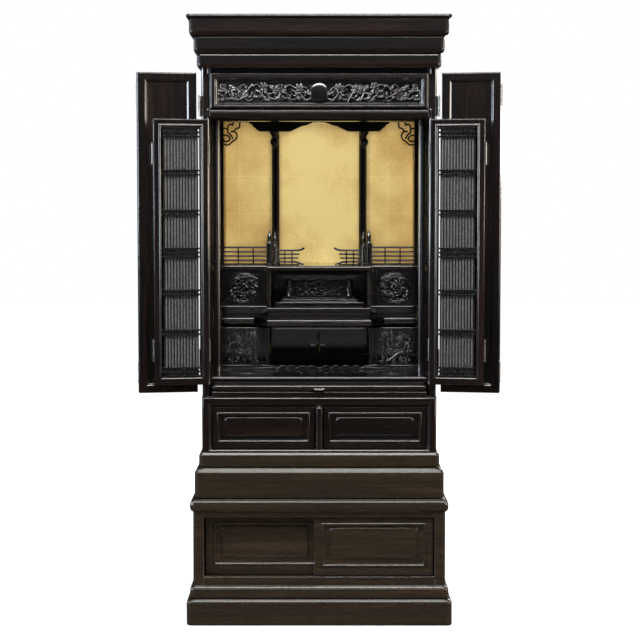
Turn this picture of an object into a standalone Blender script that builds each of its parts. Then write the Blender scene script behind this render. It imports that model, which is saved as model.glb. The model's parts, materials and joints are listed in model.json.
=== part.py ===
"""Household altar cabinet in ebony: folding and lattice doors, altar, drawers and sliding doors.

Metres, +Z up, front towards -Y, origin at the middle of the underside.
"""

import math

import bpy
import bmesh
from mathutils import Vector

MM = 0.001
GAP = 0.3 * MM

# Overall places: the plane of the upper posts' front, and the back of each storey
POST_FRONT = -250 * MM
BASE_BACK = 304 * MM
UPPER_BACK = 285 * MM

# How high each storey is, from the ground up
PLINTH_HIGH = 69.5 * MM
BASE_BOARD_HIGH = 34.5 * MM
BASE_HIGH = 196.5 * MM
BASE_TOP_HIGH = 33 * MM
STEP_LARGE_HIGH = 82 * MM
STEP_SMALL_HIGH = 42 * MM
DRAWERS_HIGH = 146.5 * MM
SUB_FLOOR_HIGH = 15.5 * MM
SLIDE_BOARD_HIGH = 17.5 * MM
ALTAR_FLOOR_HIGH = 17.5 * MM
HALL_HIGH = 680.5 * MM
HEAD_HIGH = 130 * MM
CORNICE_HIGH = 126 * MM
TOP_BOARD_HIGH = 9 * MM

# Heights of the joints between the storeys
PLINTH_TOP = PLINTH_HIGH
BASE_FLOOR = PLINTH_TOP + BASE_BOARD_HIGH
BASE_HEAD = BASE_FLOOR + BASE_HIGH
STEP_FOOT = BASE_HEAD + BASE_TOP_HIGH
STEP_HEAD = STEP_FOOT + STEP_LARGE_HIGH
DRAWER_FOOT = STEP_HEAD + STEP_SMALL_HIGH
DRAWER_HEAD = DRAWER_FOOT + DRAWERS_HIGH
BOARD_FOOT = DRAWER_HEAD + SUB_FLOOR_HIGH
FLOOR_FOOT = BOARD_FOOT + SLIDE_BOARD_HIGH
FLOOR_TOP = FLOOR_FOOT + ALTAR_FLOOR_HIGH
HEAD_FOOT = FLOOR_TOP + HALL_HIGH
HEAD_TOP = HEAD_FOOT + HEAD_HIGH

# Half widths of the storeys, from the upper posts outwards and inwards
POST_OUT = 309.5 * MM
POST_WIDE = 21.8 * MM
POST_IN = POST_OUT - POST_WIDE
INNER_HALF = POST_IN - GAP
DRAWER_HALF = POST_OUT + 1.5 * MM
BASE_HALF = DRAWER_HALF + 23 * MM
BASE_BOARD_HALF = BASE_HALF + 8 * MM
PLINTH_HALF = BASE_HALF + 17 * MM

# Outer folding doors
OUTER_OPEN = math.radians(170)
OUTER_AXIS = (POST_OUT + 5 * MM, -3 * MM)
OUTER_Z = (DRAWER_HEAD + 10.5 * MM, HEAD_TOP - 10 * MM)
OUTER_THICK = 20 * MM
OUTER_STAND = 13 * MM
OUTER_START = 5 * MM
OUTER_WIDTH_A = POST_OUT / 2 - 0.25 * MM
OUTER_WIDTH_B = OUTER_WIDTH_A - 1 * MM
OUTER_FRAME = 21 * MM

# Lattice doors, which shut between the posts and fold the same way
LATTICE_AXIS = (POST_IN + 1.4 * MM, -8 * MM)
LATTICE_Z = (FLOOR_FOOT + 1 * MM, HEAD_FOOT - 3 * MM)
LATTICE_THICK = 13 * MM
LATTICE_START = 3.1 * MM
LATTICE_WIDTH_A = POST_IN / 2 - 0.85 * MM
LATTICE_WIDTH_B = LATTICE_WIDTH_A - 2 * MM
LATTICE_STILE = 20 * MM
FOLD_GAP = 1 * MM
LEAF_GAP = 1 * MM

# Places of the lattice's cross bars, from the top, counted in bars of each cluster
CLUSTER_BARS = (3, 2, 2, 3, 2, 2, 3)
CLUSTER_PITCH = 11 * MM
BAR_HIGH = 4 * MM

# Drawers and the sliding doors below them
DRAWER_FRONT = POST_FRONT + 1 * MM
DRAWER_DEEP = 330 * MM
MULLION_HALF = 10.5 * MM
SLIDER_THICK = 18 * MM
TRACK_FRONT = POST_FRONT - 18 * MM
TRACK_REAR = TRACK_FRONT + SLIDER_THICK + 3 * MM
SLIDER_LAP = 14 * MM

# The altar inside: the planes of its front, and the half width of its middle
SIDE_PLANE = -10 * MM
CORE_PLANE = 90 * MM
CORE_HALF = 143 * MM
FORWARD = 100 * MM
RETURN_WIDE = 40 * MM
CORNER = 3 * MM
GOLD_FRONT = 60 * MM
GOLD_BACK = 225 * MM
GOLD_WALL = 12.5 * MM
CUPBOARD_HIGH = 116.5 * MM
SHELF_HIGH = 30 * MM
WAIST_HIGH = 30.5 * MM
NICHE_HIGH = 100.5 * MM
TIER_HIGH = 14 * MM
SHELF_FOOT = FLOOR_TOP + CUPBOARD_HIGH
WAIST_FOOT = SHELF_FOOT + SHELF_HIGH
WAIST_TOP = WAIST_FOOT + WAIST_HIGH
TIER_FOOT = WAIST_TOP + NICHE_HIGH
TIER_TOP = TIER_FOOT + TIER_HIGH

for old in list(bpy.data.objects):
    bpy.data.objects.remove(old, do_unlink=True)


def material(name, colour, roughness, metallic=0.0):
    made = bpy.data.materials.new(name)
    made.use_nodes = True
    shader = made.node_tree.nodes["Principled BSDF"]
    shader.inputs["Base Color"].default_value = (*colour, 1.0)
    shader.inputs["Roughness"].default_value = roughness
    shader.inputs["Metallic"].default_value = metallic
    made.diffuse_color = (*colour, 1.0)
    return made


EBONY = ((0.022, 0.015, 0.013), 0.28)
BASE_WOOD = ((0.030, 0.019, 0.015), 0.30)
CARVED = ((0.012, 0.011, 0.012), 0.22)
GOLD = ((0.62, 0.44, 0.15), 0.42, 0.6)
STEEL = ((0.42, 0.41, 0.39), 0.35, 1.0)


def place(name, mesh, look, at=(0, 0, 0), parent=None):
    """A mesh becomes the named sub-part, with a material of its own."""
    mesh.name = name
    mesh.materials.clear()
    mesh.materials.append(material(name, *look))
    made = bpy.data.objects.new(name, mesh)
    made.location = at
    made.parent = parent
    bpy.context.scene.collection.objects.link(made)
    return made


def pivot(name, at, turn, parent=None):
    """An empty on a joint's axis, which runs along Z."""
    empty = bpy.data.objects.new(name, None)
    empty.location = at
    empty.rotation_euler.z = turn
    empty.parent = parent
    bpy.context.scene.collection.objects.link(empty)
    return empty


def mesh_of(points, faces):
    mesh = bpy.data.meshes.new("shape")
    mesh.from_pydata([tuple(p) for p in points], [], faces)
    work = bmesh.new()
    work.from_mesh(mesh)
    bmesh.ops.recalc_face_normals(work, faces=work.faces)
    work.to_mesh(mesh)
    work.free()
    return mesh


def lofted(loops, ring=False):
    """Loops with the same number of points, joined in turn; the ends are capped, or join up in a ring."""
    count = len(loops[0])
    points = [p for loop in loops for p in loop]
    faces = []
    pairs = list(zip(range(len(loops) - 1), range(1, len(loops))))
    if ring:
        pairs.append((len(loops) - 1, 0))
    for low, high in pairs:
        for k in range(count):
            n = (k + 1) % count
            faces.append((low * count + k, low * count + n, high * count + n, high * count + k))
    if not ring:
        faces.append(tuple(range(count)))
        faces.append(tuple(range((len(loops) - 1) * count, len(loops) * count)))
    return mesh_of(points, faces)


def box(x, y, z):
    """A block between two values along each axis."""
    loops = []
    for height in z:
        loops.append(
            [(x[0], y[0], height), (x[1], y[0], height), (x[1], y[1], height), (x[0], y[1], height)]
        )
    return lofted(loops)


def prism(outline, span, axis):
    """An outline drawn out along an axis: points are (x, z) along Y, (x, y) along Z, (y, z) along X."""
    loops = []
    for value in span:
        if axis == "y":
            loops.append([(a, value, b) for a, b in outline])
        elif axis == "z":
            loops.append([(a, b, value) for a, b in outline])
        else:
            loops.append([(value, a, b) for a, b in outline])
    return lofted(loops)


def turned(profile, at, sides=10, axis="z"):
    """A profile of (radius, height) spun round an axis through a point, capped at both ends."""
    loops = []
    for radius, height in profile:
        loop = []
        for k in range(sides):
            turn = 2 * math.pi * (k + 0.5) / sides
            a = radius * math.cos(turn)
            b = radius * math.sin(turn)
            offset = (a, b, height) if axis == "z" else (a, -height, b)
            loop.append(tuple(Vector(at) + Vector(offset)))
        loops.append(loop)
    return lofted(loops)


def round_rect(low, high, radius, steps):
    """A rectangle between two corners with rounded corners, as (a, b) points in order."""
    points = []
    radius = max(radius, 0.05 * MM)
    centres = [
        (high[0] - radius, high[1] - radius, 0),
        (low[0] + radius, high[1] - radius, 90),
        (low[0] + radius, low[1] + radius, 180),
        (high[0] - radius, low[1] + radius, 270),
    ]
    for a, b, start in centres:
        for k in range(steps + 1):
            turn = math.radians(start + 90 * k / steps)
            points.append((a + radius * math.cos(turn), b + radius * math.sin(turn)))
    return points


def storey_loop(half, front, back, radius, height, steps=2):
    """A storey's outline in plan: square at the back, rounded at the two front corners."""
    points = [(half, back, height), (-half, back, height)]
    for side, start in ((-1, 180), (1, 270)):
        for k in range(steps + 1):
            turn = math.radians(start + 90 * k / steps)
            x = side * (half - radius) + radius * math.cos(turn)
            y = front + radius + radius * math.sin(turn)
            points.append((x, y, height))
    return points


def storey(half, front, back, profile, radius=10 * MM):
    """Loops up a storey's moulding: the profile gives (how far it draws in, height)."""
    return [
        storey_loop(half - cut, front + cut, back, max(radius - cut, 2 * MM), z) for cut, z in profile
    ]


def eased(low, high, ease):
    """A straight board's edge with its top and bottom rounded over."""
    return [
        (0.4 * ease, low),
        (0, low + 0.4 * ease),
        (0, high - ease),
        (0.35 * ease, high - 0.35 * ease),
        (ease, high),
    ]


def plate(loops):
    """Rectangles facing front, each (x low, x high, z low, z high, corner radius, y), joined in turn."""
    made = []
    for x0, x1, z0, z1, radius, y in loops:
        made.append([(a, y, b) for a, b in round_rect((x0, z0), (x1, z1), radius, 2)])
    return lofted(made)


def fused(meshes):
    """Several closed shapes that overlap made one solid."""
    first = bpy.data.objects.new("first", meshes[0])
    bpy.context.scene.collection.objects.link(first)
    gathered = bmesh.new()
    for mesh in meshes[1:]:
        gathered.from_mesh(mesh)
    rest_mesh = bpy.data.meshes.new("rest")
    gathered.to_mesh(rest_mesh)
    gathered.free()
    rest = bpy.data.objects.new("rest", rest_mesh)
    bpy.context.scene.collection.objects.link(rest)
    return combined(first, rest, "UNION")


def cut(mesh, cutter):
    """One shape less another."""
    whole = bpy.data.objects.new("whole", mesh)
    tool = bpy.data.objects.new("tool", cutter)
    bpy.context.scene.collection.objects.link(whole)
    bpy.context.scene.collection.objects.link(tool)
    return combined(whole, tool, "DIFFERENCE")


def combined(first, second, operation):
    change = first.modifiers.new("change", "BOOLEAN")
    change.operation = operation
    change.solver = "EXACT"
    change.use_self = operation == "UNION"
    change.object = second
    bpy.context.view_layer.update()
    seen = first.evaluated_get(bpy.context.evaluated_depsgraph_get())
    mesh = bpy.data.meshes.new_from_object(seen)
    bpy.data.objects.remove(first, do_unlink=True)
    bpy.data.objects.remove(second, do_unlink=True)
    work = bmesh.new()
    work.from_mesh(mesh)
    bmesh.ops.remove_doubles(work, verts=work.verts, dist=0.005 * MM)
    bmesh.ops.dissolve_degenerate(work, edges=work.edges, dist=0.005 * MM)
    work.to_mesh(mesh)
    work.free()
    return mesh


def mirrored(mesh):
    """The same shape for the other side of the cabinet."""
    twin = mesh.copy()
    work = bmesh.new()
    work.from_mesh(twin)
    for v in work.verts:
        v.co.x = -v.co.x
    bmesh.ops.reverse_faces(work, faces=work.faces)
    work.to_mesh(twin)
    work.free()
    return twin


def pair(name, mesh, look):
    """A left-hand shape and its twin on the right."""
    place(name + "_left", mesh, look)
    place(name + "_right", mirrored(mesh), look)


# Plinth: a mitred frame under a thick base board
def plinth():
    wall = 26 * MM
    outer = storey(
        PLINTH_HALF, POST_FRONT - 50 * MM, BASE_BACK, eased(0, PLINTH_TOP - GAP, 8 * MM), 12 * MM
    )
    inner = []
    for z in (PLINTH_TOP - GAP, 0):
        loop = storey_loop(PLINTH_HALF - wall, POST_FRONT - 50 * MM + wall, BASE_BACK - wall, 2 * MM, z)
        inner.append(loop)
    place("plinth", lofted(outer + inner, ring=True), BASE_WOOD)
    board = eased(PLINTH_TOP, BASE_FLOOR - GAP, 9 * MM)
    place(
        "base_board", lofted(storey(BASE_BOARD_HALF, POST_FRONT - 40 * MM, BASE_BACK, board)), BASE_WOOD
    )


# Base cabinet: sides, back, posts and rails round two sliding doors
def base_case():
    front = POST_FRONT - 26 * MM
    wide = BASE_HALF
    post = 29 * MM
    low = BASE_FLOOR
    high = BASE_HEAD
    rail = 16.5 * MM
    sill = 21.5 * MM
    deep = 48 * MM
    parts = [box((-wide + 1 * MM, wide - 1 * MM), (BASE_BACK - 10 * MM, BASE_BACK), (low, high))]
    for side in (-1, 1):
        outer = sorted((side * (wide - 1 * MM), side * (wide - 19 * MM)))
        parts.append(box(outer, (front + 8 * MM, BASE_BACK - 1 * MM), (low, high)))
        outline = [
            (side * (wide - post), front + deep),
            (side * (wide - post), front + 3 * MM),
            (side * (wide - post + 3 * MM), front),
            (side * (wide - 6 * MM), front),
            (side * (wide - 1.8 * MM), front + 1.8 * MM),
            (side * wide, front + 6 * MM),
            (side * wide, front + deep),
        ]
        parts.append(prism(outline, (low, high), "z"))
    span = (-wide + post - 2 * MM, wide - post + 2 * MM)
    parts.append(box(span, (front + 2 * MM, front + deep - 1 * MM), (low, low + sill)))
    parts.append(box(span, (front + 2 * MM, front + deep - 1 * MM), (high - rail, high)))
    place("base_case", fused(parts), BASE_WOOD)


def slider(x0, x1, front, frame):
    """A sliding door with a moulded frame and a raised panel, flat behind."""
    z0 = BASE_FLOOR + 22.5 * MM
    z1 = BASE_HEAD - 17.5 * MM
    back = front + SLIDER_THICK
    top = 21 * MM
    low = 30 * MM
    loops = [
        (x0, x1, z0, z1, 1 * MM, back),
        (x0, x1, z0, z1, 1 * MM, front + 3 * MM),
        (x0 + 2 * MM, x1 - 2 * MM, z0 + 2 * MM, z1 - 2 * MM, 1 * MM, front + 0.6 * MM),
        (x0 + frame - 9 * MM, x1 - frame + 9 * MM, z0 + low - 9 * MM, z1 - top + 9 * MM, 1 * MM, front),
        (
            x0 + frame - 3 * MM,
            x1 - frame + 3 * MM,
            z0 + low - 3 * MM,
            z1 - top + 3 * MM,
            1 * MM,
            front + 2.2 * MM,
        ),
        (x0 + frame, x1 - frame, z0 + low, z1 - top, 1 * MM, front + 7 * MM),
        (
            x0 + frame + 15 * MM,
            x1 - frame - 15 * MM,
            z0 + low + 15 * MM,
            z1 - top - 5 * MM,
            9 * MM,
            front + 8 * MM,
        ),
        (
            x0 + frame + 18 * MM,
            x1 - frame - 18 * MM,
            z0 + low + 18 * MM,
            z1 - top - 8 * MM,
            8 * MM,
            front + 4 * MM,
        ),
    ]
    return plate(loops)


def base_doors():
    half = BASE_HALF - 30.5 * MM
    place("base_door_right", slider(-SLIDER_LAP, half, TRACK_FRONT, 27 * MM), BASE_WOOD)
    place("base_door_left", slider(-half, SLIDER_LAP, TRACK_REAR, 27 * MM), BASE_WOOD)


# The base's top board and the two steps above it, which are hollow boxes open below
def hollow_step(name, half, front, low, high, ease, wall=18 * MM):
    outer = storey(half, front, BASE_BACK, eased(low, high, ease))
    inner = []
    for z in (high - wall, low):
        loop = storey_loop(half - wall, front + wall, BASE_BACK - wall, 2 * MM, z)
        inner.append(loop)
    place(name, lofted(inner + outer), BASE_WOOD)


def steps():
    rim = [(7 * MM, BASE_HEAD + GAP), (1.5 * MM, BASE_HEAD + 5 * MM), (0, BASE_HEAD + 13 * MM)]
    rim += [(0, STEP_FOOT - 14 * MM), (2 * MM, STEP_FOOT - 6 * MM), (8 * MM, STEP_FOOT - GAP)]
    place("base_top", lofted(storey(BASE_BOARD_HALF, POST_FRONT - 36 * MM, BASE_BACK, rim)), BASE_WOOD)
    hollow_step(
        "step_large", BASE_HALF - 4 * MM, POST_FRONT - 24 * MM, STEP_FOOT, STEP_HEAD - GAP, 12 * MM
    )
    hollow_step(
        "step_small", DRAWER_HALF + 8 * MM, POST_FRONT - 12 * MM, STEP_HEAD, DRAWER_FOOT - GAP, 9 * MM, 14 * MM
    )


# Drawer storey: a case with a middle post, and two drawers
def drawer_case():
    wide = DRAWER_HALF
    front = POST_FRONT - 2 * MM
    post = 25.5 * MM
    low = DRAWER_FOOT
    high = DRAWER_HEAD - GAP
    head = 26 * MM
    back = UPPER_BACK + 5 * MM
    parts = [box((-wide + 1 * MM, wide - 1 * MM), (back - 10 * MM, back), (low, high))]
    parts.append(
        box(
            (-wide + 2 * MM, wide - 2 * MM),
            (front + 4 * MM, back - 1 * MM),
            (high - 12 * MM, high - 0.5 * MM),
        )
    )
    parts.append(
        box(
            (-wide + 2 * MM, wide - 2 * MM),
            (front + 4 * MM, back - 1 * MM),
            (low + 0.5 * MM, low + 4 * MM),
        )
    )
    parts.append(box((-6 * MM, 6 * MM), (front + 20 * MM, back - 2 * MM), (low + 1 * MM, high - 1 * MM)))
    for side in (-1, 1):
        outer = sorted((side * (wide - 1 * MM), side * (wide - 17 * MM)))
        parts.append(box(outer, (front + 8 * MM, back - 1 * MM), (low, high)))
        outline = [
            (side * (wide - post), front + 26 * MM),
            (side * (wide - post), front + 4 * MM),
            (side * (wide - post + 4 * MM), front),
            (side * (wide - 6 * MM), front),
            (side * (wide - 1.8 * MM), front + 1.8 * MM),
            (side * wide, front + 6 * MM),
            (side * wide, front + 26 * MM),
        ]
        parts.append(prism(outline, (low, high), "z"))
    span = (-wide + post - 2 * MM, wide - post + 2 * MM)
    parts.append(box(span, (front + 2 * MM, front + 25 * MM), (high - head, high)))
    arc = []
    for k in range(7):
        turn = math.radians(180 + 180 * k / 6)
        arc.append((MULLION_HALF * math.cos(turn), front + 6 * MM + 8 * MM * math.sin(turn)))
    arc += [(MULLION_HALF, front + 24 * MM), (-MULLION_HALF, front + 24 * MM)]
    parts.append(prism(arc, (low, high - 20 * MM), "z"))
    place("drawer_case", fused(parts), EBONY)


def drawer(x0, x1):
    """A drawer seen from the front as a moulded frame round a raised panel, with a plain box behind."""
    z0 = DRAWER_FOOT + 5 * MM
    z1 = DRAWER_HEAD - 27.5 * MM
    front = DRAWER_FRONT
    side = 19 * MM
    low = 23 * MM
    top = 21 * MM
    face = [
        (x0, x1, z0, z1, 1 * MM, front + 20 * MM),
        (x0, x1, z0, z1, 1 * MM, front + 4 * MM),
        (x0 + 2.5 * MM, x1 - 2.5 * MM, z0 + 2.5 * MM, z1 - 2.5 * MM, 1 * MM, front + 1 * MM),
        (x0 + side - 8 * MM, x1 - side + 8 * MM, z0 + low - 8 * MM, z1 - top + 8 * MM, 1 * MM, front),
        (
            x0 + side - 2.5 * MM,
            x1 - side + 2.5 * MM,
            z0 + low - 2.5 * MM,
            z1 - top + 2.5 * MM,
            1 * MM,
            front + 2.2 * MM,
        ),
        (x0 + side, x1 - side, z0 + low, z1 - top, 1 * MM, front + 7 * MM),
        (
            x0 + side + 14 * MM,
            x1 - side - 14 * MM,
            z0 + low + 13 * MM,
            z1 - top - 6 * MM,
            10 * MM,
            front + 8 * MM,
        ),
        (
            x0 + side + 17 * MM,
            x1 - side - 17 * MM,
            z0 + low + 16 * MM,
            z1 - top - 9 * MM,
            8 * MM,
            front + 4 * MM,
        ),
    ]
    parts = [plate(face)]
    inner0 = x0 + 4 * MM
    inner1 = x1 - 4 * MM
    back = front + DRAWER_DEEP
    foot = z0 + 1 * MM
    head = z1 - 14 * MM
    wall = 9 * MM
    parts.append(box((inner0, inner1), (front + 18 * MM, back), (foot, foot + 7 * MM)))
    parts.append(
        box((inner0 + 1 * MM, inner1 - 1 * MM), (back - wall, back - 1 * MM), (foot + 1 * MM, head))
    )
    for a in ((inner0, inner0 + wall), (inner1 - wall, inner1)):
        parts.append(box(a, (front + 18 * MM, back - 0.5 * MM), (foot + 0.5 * MM, head)))
    return fused(parts)


def drawers():
    outside = DRAWER_HALF - 26.5 * MM
    pair("drawer", drawer(-outside, -MULLION_HALF - 1 * MM), EBONY)


# Upper storey: sub-floor, pull-out board, altar floor, posts and case
def upper():
    strip = eased(DRAWER_HEAD, BOARD_FOOT - GAP, 4 * MM)
    place(
        "sub_floor",
        lofted(storey(POST_IN - 3.2 * MM, POST_FRONT - 6 * MM, UPPER_BACK - 11 * MM, strip, 5 * MM)),
        EBONY,
    )
    rim = [(5 * MM, BOARD_FOOT), (1 * MM, BOARD_FOOT + 4 * MM), (0, BOARD_FOOT + 8 * MM)]
    rim += [(1 * MM, FLOOR_FOOT - 5 * MM), (5 * MM, FLOOR_FOOT - 1 * MM)]
    place(
        "slide_board",
        lofted(storey(POST_IN - 3.7 * MM, POST_FRONT - 13 * MM, 60 * MM, rim, 8 * MM)),
        EBONY,
    )
    floor = [(1 * MM, FLOOR_FOOT), (0, FLOOR_FOOT + 3 * MM), (0, FLOOR_TOP - 4 * MM), (3 * MM, FLOOR_TOP)]
    place(
        "altar_floor",
        lofted(storey(INNER_HALF, POST_FRONT + 15.5 * MM, UPPER_BACK - 11 * MM, floor, 3 * MM)),
        EBONY,
    )
    low = DRAWER_HEAD
    high = HEAD_TOP - GAP
    front = POST_FRONT
    mid = (POST_OUT + POST_IN) / 2
    half = (POST_OUT - POST_IN) / 2
    outline = []
    for k in range(7):
        turn = math.radians(180 + 180 * k / 6)
        outline.append((-mid + half * math.cos(turn), front + 9 * MM + 9 * MM * math.sin(turn)))
    outline += [(-POST_IN, front + 28 * MM), (-POST_OUT, front + 28 * MM)]
    pair("post", prism(outline, (low, high), "z"), EBONY)
    wall = 18 * MM
    start = front + 28 * MM + GAP
    outer = POST_OUT - 3 * MM
    shell = [
        (-outer, start),
        (-outer, UPPER_BACK),
        (outer, UPPER_BACK),
        (outer, start),
        (outer - wall, start),
        (outer - wall, UPPER_BACK - 10 * MM),
        (-outer + wall, UPPER_BACK - 10 * MM),
        (-outer + wall, start),
    ]
    place("upper_case", prism(shell, (low, high), "z"), EBONY)


# Head of the upper storey: lintel, moulded frame, openwork frieze and boss
FRIEZE_X = POST_IN - 21.2 * MM
FRIEZE_Z = (HEAD_FOOT + 39.5 * MM, HEAD_TOP - 30.5 * MM)
FRIEZE_Y = (POST_FRONT + 6 * MM, POST_FRONT + 15 * MM)


def head():
    face = POST_FRONT - 2 * MM
    profile = [
        (face + 5 * MM, HEAD_FOOT),
        (face + 1.2 * MM, HEAD_FOOT + 2.5 * MM),
        (face, HEAD_FOOT + 8 * MM),
        (face, HEAD_FOOT + 16 * MM),
        (face + 1.2 * MM, HEAD_FOOT + 22 * MM),
        (face + 6 * MM, HEAD_FOOT + 25 * MM),
        (POST_FRONT + 38 * MM, HEAD_FOOT + 25 * MM),
        (POST_FRONT + 38 * MM, HEAD_FOOT - 5 * MM),
        (POST_FRONT + 18 * MM, HEAD_FOOT - 5 * MM),
        (POST_FRONT + 18 * MM, HEAD_FOOT),
    ]
    place("lintel", prism(profile, (-INNER_HALF, INNER_HALF), "x"), EBONY)
    low = HEAD_FOOT + 25 * MM + GAP
    high = HEAD_TOP - GAP
    wide = INNER_HALF
    x, z0, z1 = FRIEZE_X + GAP, FRIEZE_Z[0] - GAP, FRIEZE_Z[1] + GAP
    loops = []
    for half, base, top, y in (
        (wide, low, high, face + 24 * MM),
        (wide, low, high, face + 4 * MM),
        (wide - 3 * MM, low + 1.5 * MM, high - 11 * MM, face + 4 * MM),
        (wide - 5 * MM, low + 3 * MM, high - 13 * MM, face - 4 * MM),
        (x + 7 * MM, z0 - 6 * MM, z1 + 6 * MM, face - 5 * MM),
        (x + 3 * MM, z0 - 3 * MM, z1 + 3 * MM, face + 1 * MM),
        (x, z0, z1, face + 3 * MM),
        (x, z0, z1, face + 24 * MM),
    ):
        loops.append([(half, y, top), (-half, y, top), (-half, y, base), (half, y, base)])
    place("head_frame", lofted(loops, ring=True), EBONY)
    radius = 25.5 * MM
    mid = (FRIEZE_Z[0] + FRIEZE_Z[1]) / 2
    dome = [
        (radius, 0),
        (radius, 3 * MM),
        (0.93 * radius, 6 * MM),
        (0.72 * radius, 8.5 * MM),
        (0.36 * radius, 10 * MM),
    ]
    centre = (0, FRIEZE_Y[0] - GAP, mid)
    place("head_boss", turned(dome, centre, 20, "y"), CARVED)


def band(points, widths, span):
    """A flat strip of changing width along a path of (x, z) points, drawn out along Y."""
    left = []
    right = []
    last = len(points) - 1
    for k, (x, z) in enumerate(points):
        before = points[max(k - 1, 0)]
        after = points[min(k + 1, last)]
        run = Vector((after[0] - before[0], after[1] - before[1]))
        side = Vector((-run.y, run.x)).normalized() * widths[k] / 2
        left.append((x + side.x, z + side.y))
        right.append((x - side.x, z - side.y))
    return prism(left + right[::-1], span, "y")


def leaf(x, z, long, wide, turn, span):
    """A pointed leaf from its stalk, along a direction in degrees."""
    run = Vector((math.cos(math.radians(turn)), math.sin(math.radians(turn))))
    side = Vector((-run.y, run.x))
    outline = []
    for along, out in ((0, 0.1), (0.45, 0.5), (1, 0), (0.45, -0.45)):
        point = run * along * long + side * out * wide
        outline.append((x + point.x, z + point.y))
    return prism(outline, span, "y")


def curl(x, z, radius, start, sweep, wide, span, steps=6):
    """A stem that winds in towards a centre, thinning as it goes."""
    points = []
    widths = []
    for k in range(steps + 1):
        t = k / steps
        turn = math.radians(start + sweep * t)
        r = radius * (1 - 0.62 * t)
        points.append((x + r * math.cos(turn), z + r * math.sin(turn)))
        widths.append(wide * (1 - 0.4 * t))
    return band(points, widths, span)


def frieze():
    """Openwork of scrolling stems with leaves inside a thin rim, the same to the left and right."""
    mid = (FRIEZE_Z[0] + FRIEZE_Z[1]) / 2
    rise = 17 * MM
    span = (FRIEZE_Y[0] + 1.2 * MM, FRIEZE_Y[1] - 1.2 * MM)
    rim = []
    for cut_in, y in (
        (0, FRIEZE_Y[1]),
        (0, FRIEZE_Y[0] + 3 * MM),
        (2.4 * MM, FRIEZE_Y[0] + 3 * MM),
        (2.4 * MM, FRIEZE_Y[1]),
    ):
        x = FRIEZE_X - cut_in
        z0 = FRIEZE_Z[0] + cut_in
        z1 = FRIEZE_Z[1] - cut_in
        rim.append([(x, y, z1), (-x, y, z1), (-x, y, z0), (x, y, z0)])
    parts = [lofted(rim, ring=True)]
    parts.append(turned([(23 * MM, 0), (23 * MM, 7 * MM)], (0, FRIEZE_Y[0] + 7.9 * MM, mid), 14, "y"))
    first = 14 * MM
    last = FRIEZE_X - 3.5 * MM
    waves = 3
    high = (span[0] - 0.7 * MM, span[1] - 0.5 * MM)
    low = (span[0] + 0.5 * MM, span[1] - 0.9 * MM)
    points = []
    for k in range(17):
        t = k / 16
        points.append(
            (first + (last - first) * t, mid + rise * math.sin(2 * math.pi * (waves * t + 0.15)))
        )
    right = [band(points, [5 * MM] * 17, span)]
    for k in range(2 * waves):
        x = first + (last - first) * (k + 0.35) / (2 * waves)
        up = 1 if k % 2 else -1
        right.append(curl(x, mid + up * 7 * MM, 17 * MM, 90 * up, -up * 300, 5 * MM, high, 4))
        right.append(leaf(x, mid + up * 6 * MM, 27 * MM, 15 * MM, up * 38, low))
        right.append(leaf(x + 8 * MM, mid + up * 3 * MM, 29 * MM, 15 * MM, -up * 64, low))
    for shape in right:
        parts.append(shape)
        parts.append(mirrored(shape))
    place("frieze", fused(parts), CARVED)


# Cornice: a roof board, two hollow mouldings and the top board
def cornice():
    back = UPPER_BACK + 5 * MM
    low = [(7 * MM, HEAD_TOP), (1.5 * MM, HEAD_TOP + 3 * MM), (0, HEAD_TOP + 10 * MM)]
    low += [(0, HEAD_TOP + 32 * MM), (1 * MM, HEAD_TOP + 35 * MM - GAP)]
    place("cornice_lower", lofted(storey(POST_OUT + 9 * MM, POST_FRONT - 28 * MM, back, low)), EBONY)
    for name, half, front, foot, rise in (
        ("cornice_middle", POST_OUT + 16.5 * MM, POST_FRONT - 36 * MM, HEAD_TOP + 35 * MM, 44.5 * MM),
        ("cornice_upper", POST_OUT + 27.5 * MM, POST_FRONT - 46 * MM, HEAD_TOP + 79.5 * MM, 46.5 * MM),
    ):
        head_z = foot + rise - GAP
        profile = [
            (10 * MM, foot),
            (2.5 * MM, foot + 4 * MM),
            (0, foot + 12 * MM),
            (0, head_z - 2 * MM),
            (1 * MM, head_z),
        ]
        outer = storey(half, front, back, profile)
        inner = []
        for z in (head_z, foot):
            inner.append(storey_loop(half - 34 * MM, front + 34 * MM, back - 20 * MM, 2 * MM, z))
        place(name, lofted(outer + inner, ring=True), EBONY)
    foot = HEAD_TOP + CORNICE_HIGH
    lip = [(3 * MM, foot), (0, foot + 3 * MM), (0, foot + 6 * MM), (2 * MM, foot + TOP_BOARD_HIGH)]
    place(
        "top_board", lofted(storey(POST_OUT + 34.5 * MM, POST_FRONT - 53 * MM, back + 5 * MM, lip)), EBONY
    )


# Inside: jambs, gilt lining, valance with its drops, brackets and pillars
VALANCE_Y = (40 * MM, 52 * MM)
VALANCE_EDGE = HEAD_FOOT + 10 * MM


def lining():
    low = FLOOR_TOP + GAP
    high = HEAD_TOP - GAP
    edge = POST_IN - 18.7 * MM
    jamb = [
        (-INNER_HALF, -112 * MM),
        (-INNER_HALF, -124 * MM),
        (-edge - 11 * MM, -124 * MM),
        (-edge - 10 * MM, -129 * MM),
        (-edge - 5.5 * MM, -131.5 * MM),
        (-edge - 1 * MM, -129 * MM),
        (-edge, -124 * MM),
        (-edge, -112 * MM),
    ]
    pair("jamb", prism(jamb, (low, high), "z"), EBONY)
    wide = INNER_HALF
    inner = wide - GOLD_WALL
    shell = [
        (-wide, GOLD_FRONT),
        (-wide, GOLD_BACK + 10 * MM),
        (wide, GOLD_BACK + 10 * MM),
        (wide, GOLD_FRONT),
        (inner, GOLD_FRONT),
        (inner, GOLD_BACK),
        (-inner, GOLD_BACK),
        (-inner, GOLD_FRONT),
    ]
    place("gold_lining", prism(shell, (low, high), "z"), GOLD)


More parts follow.
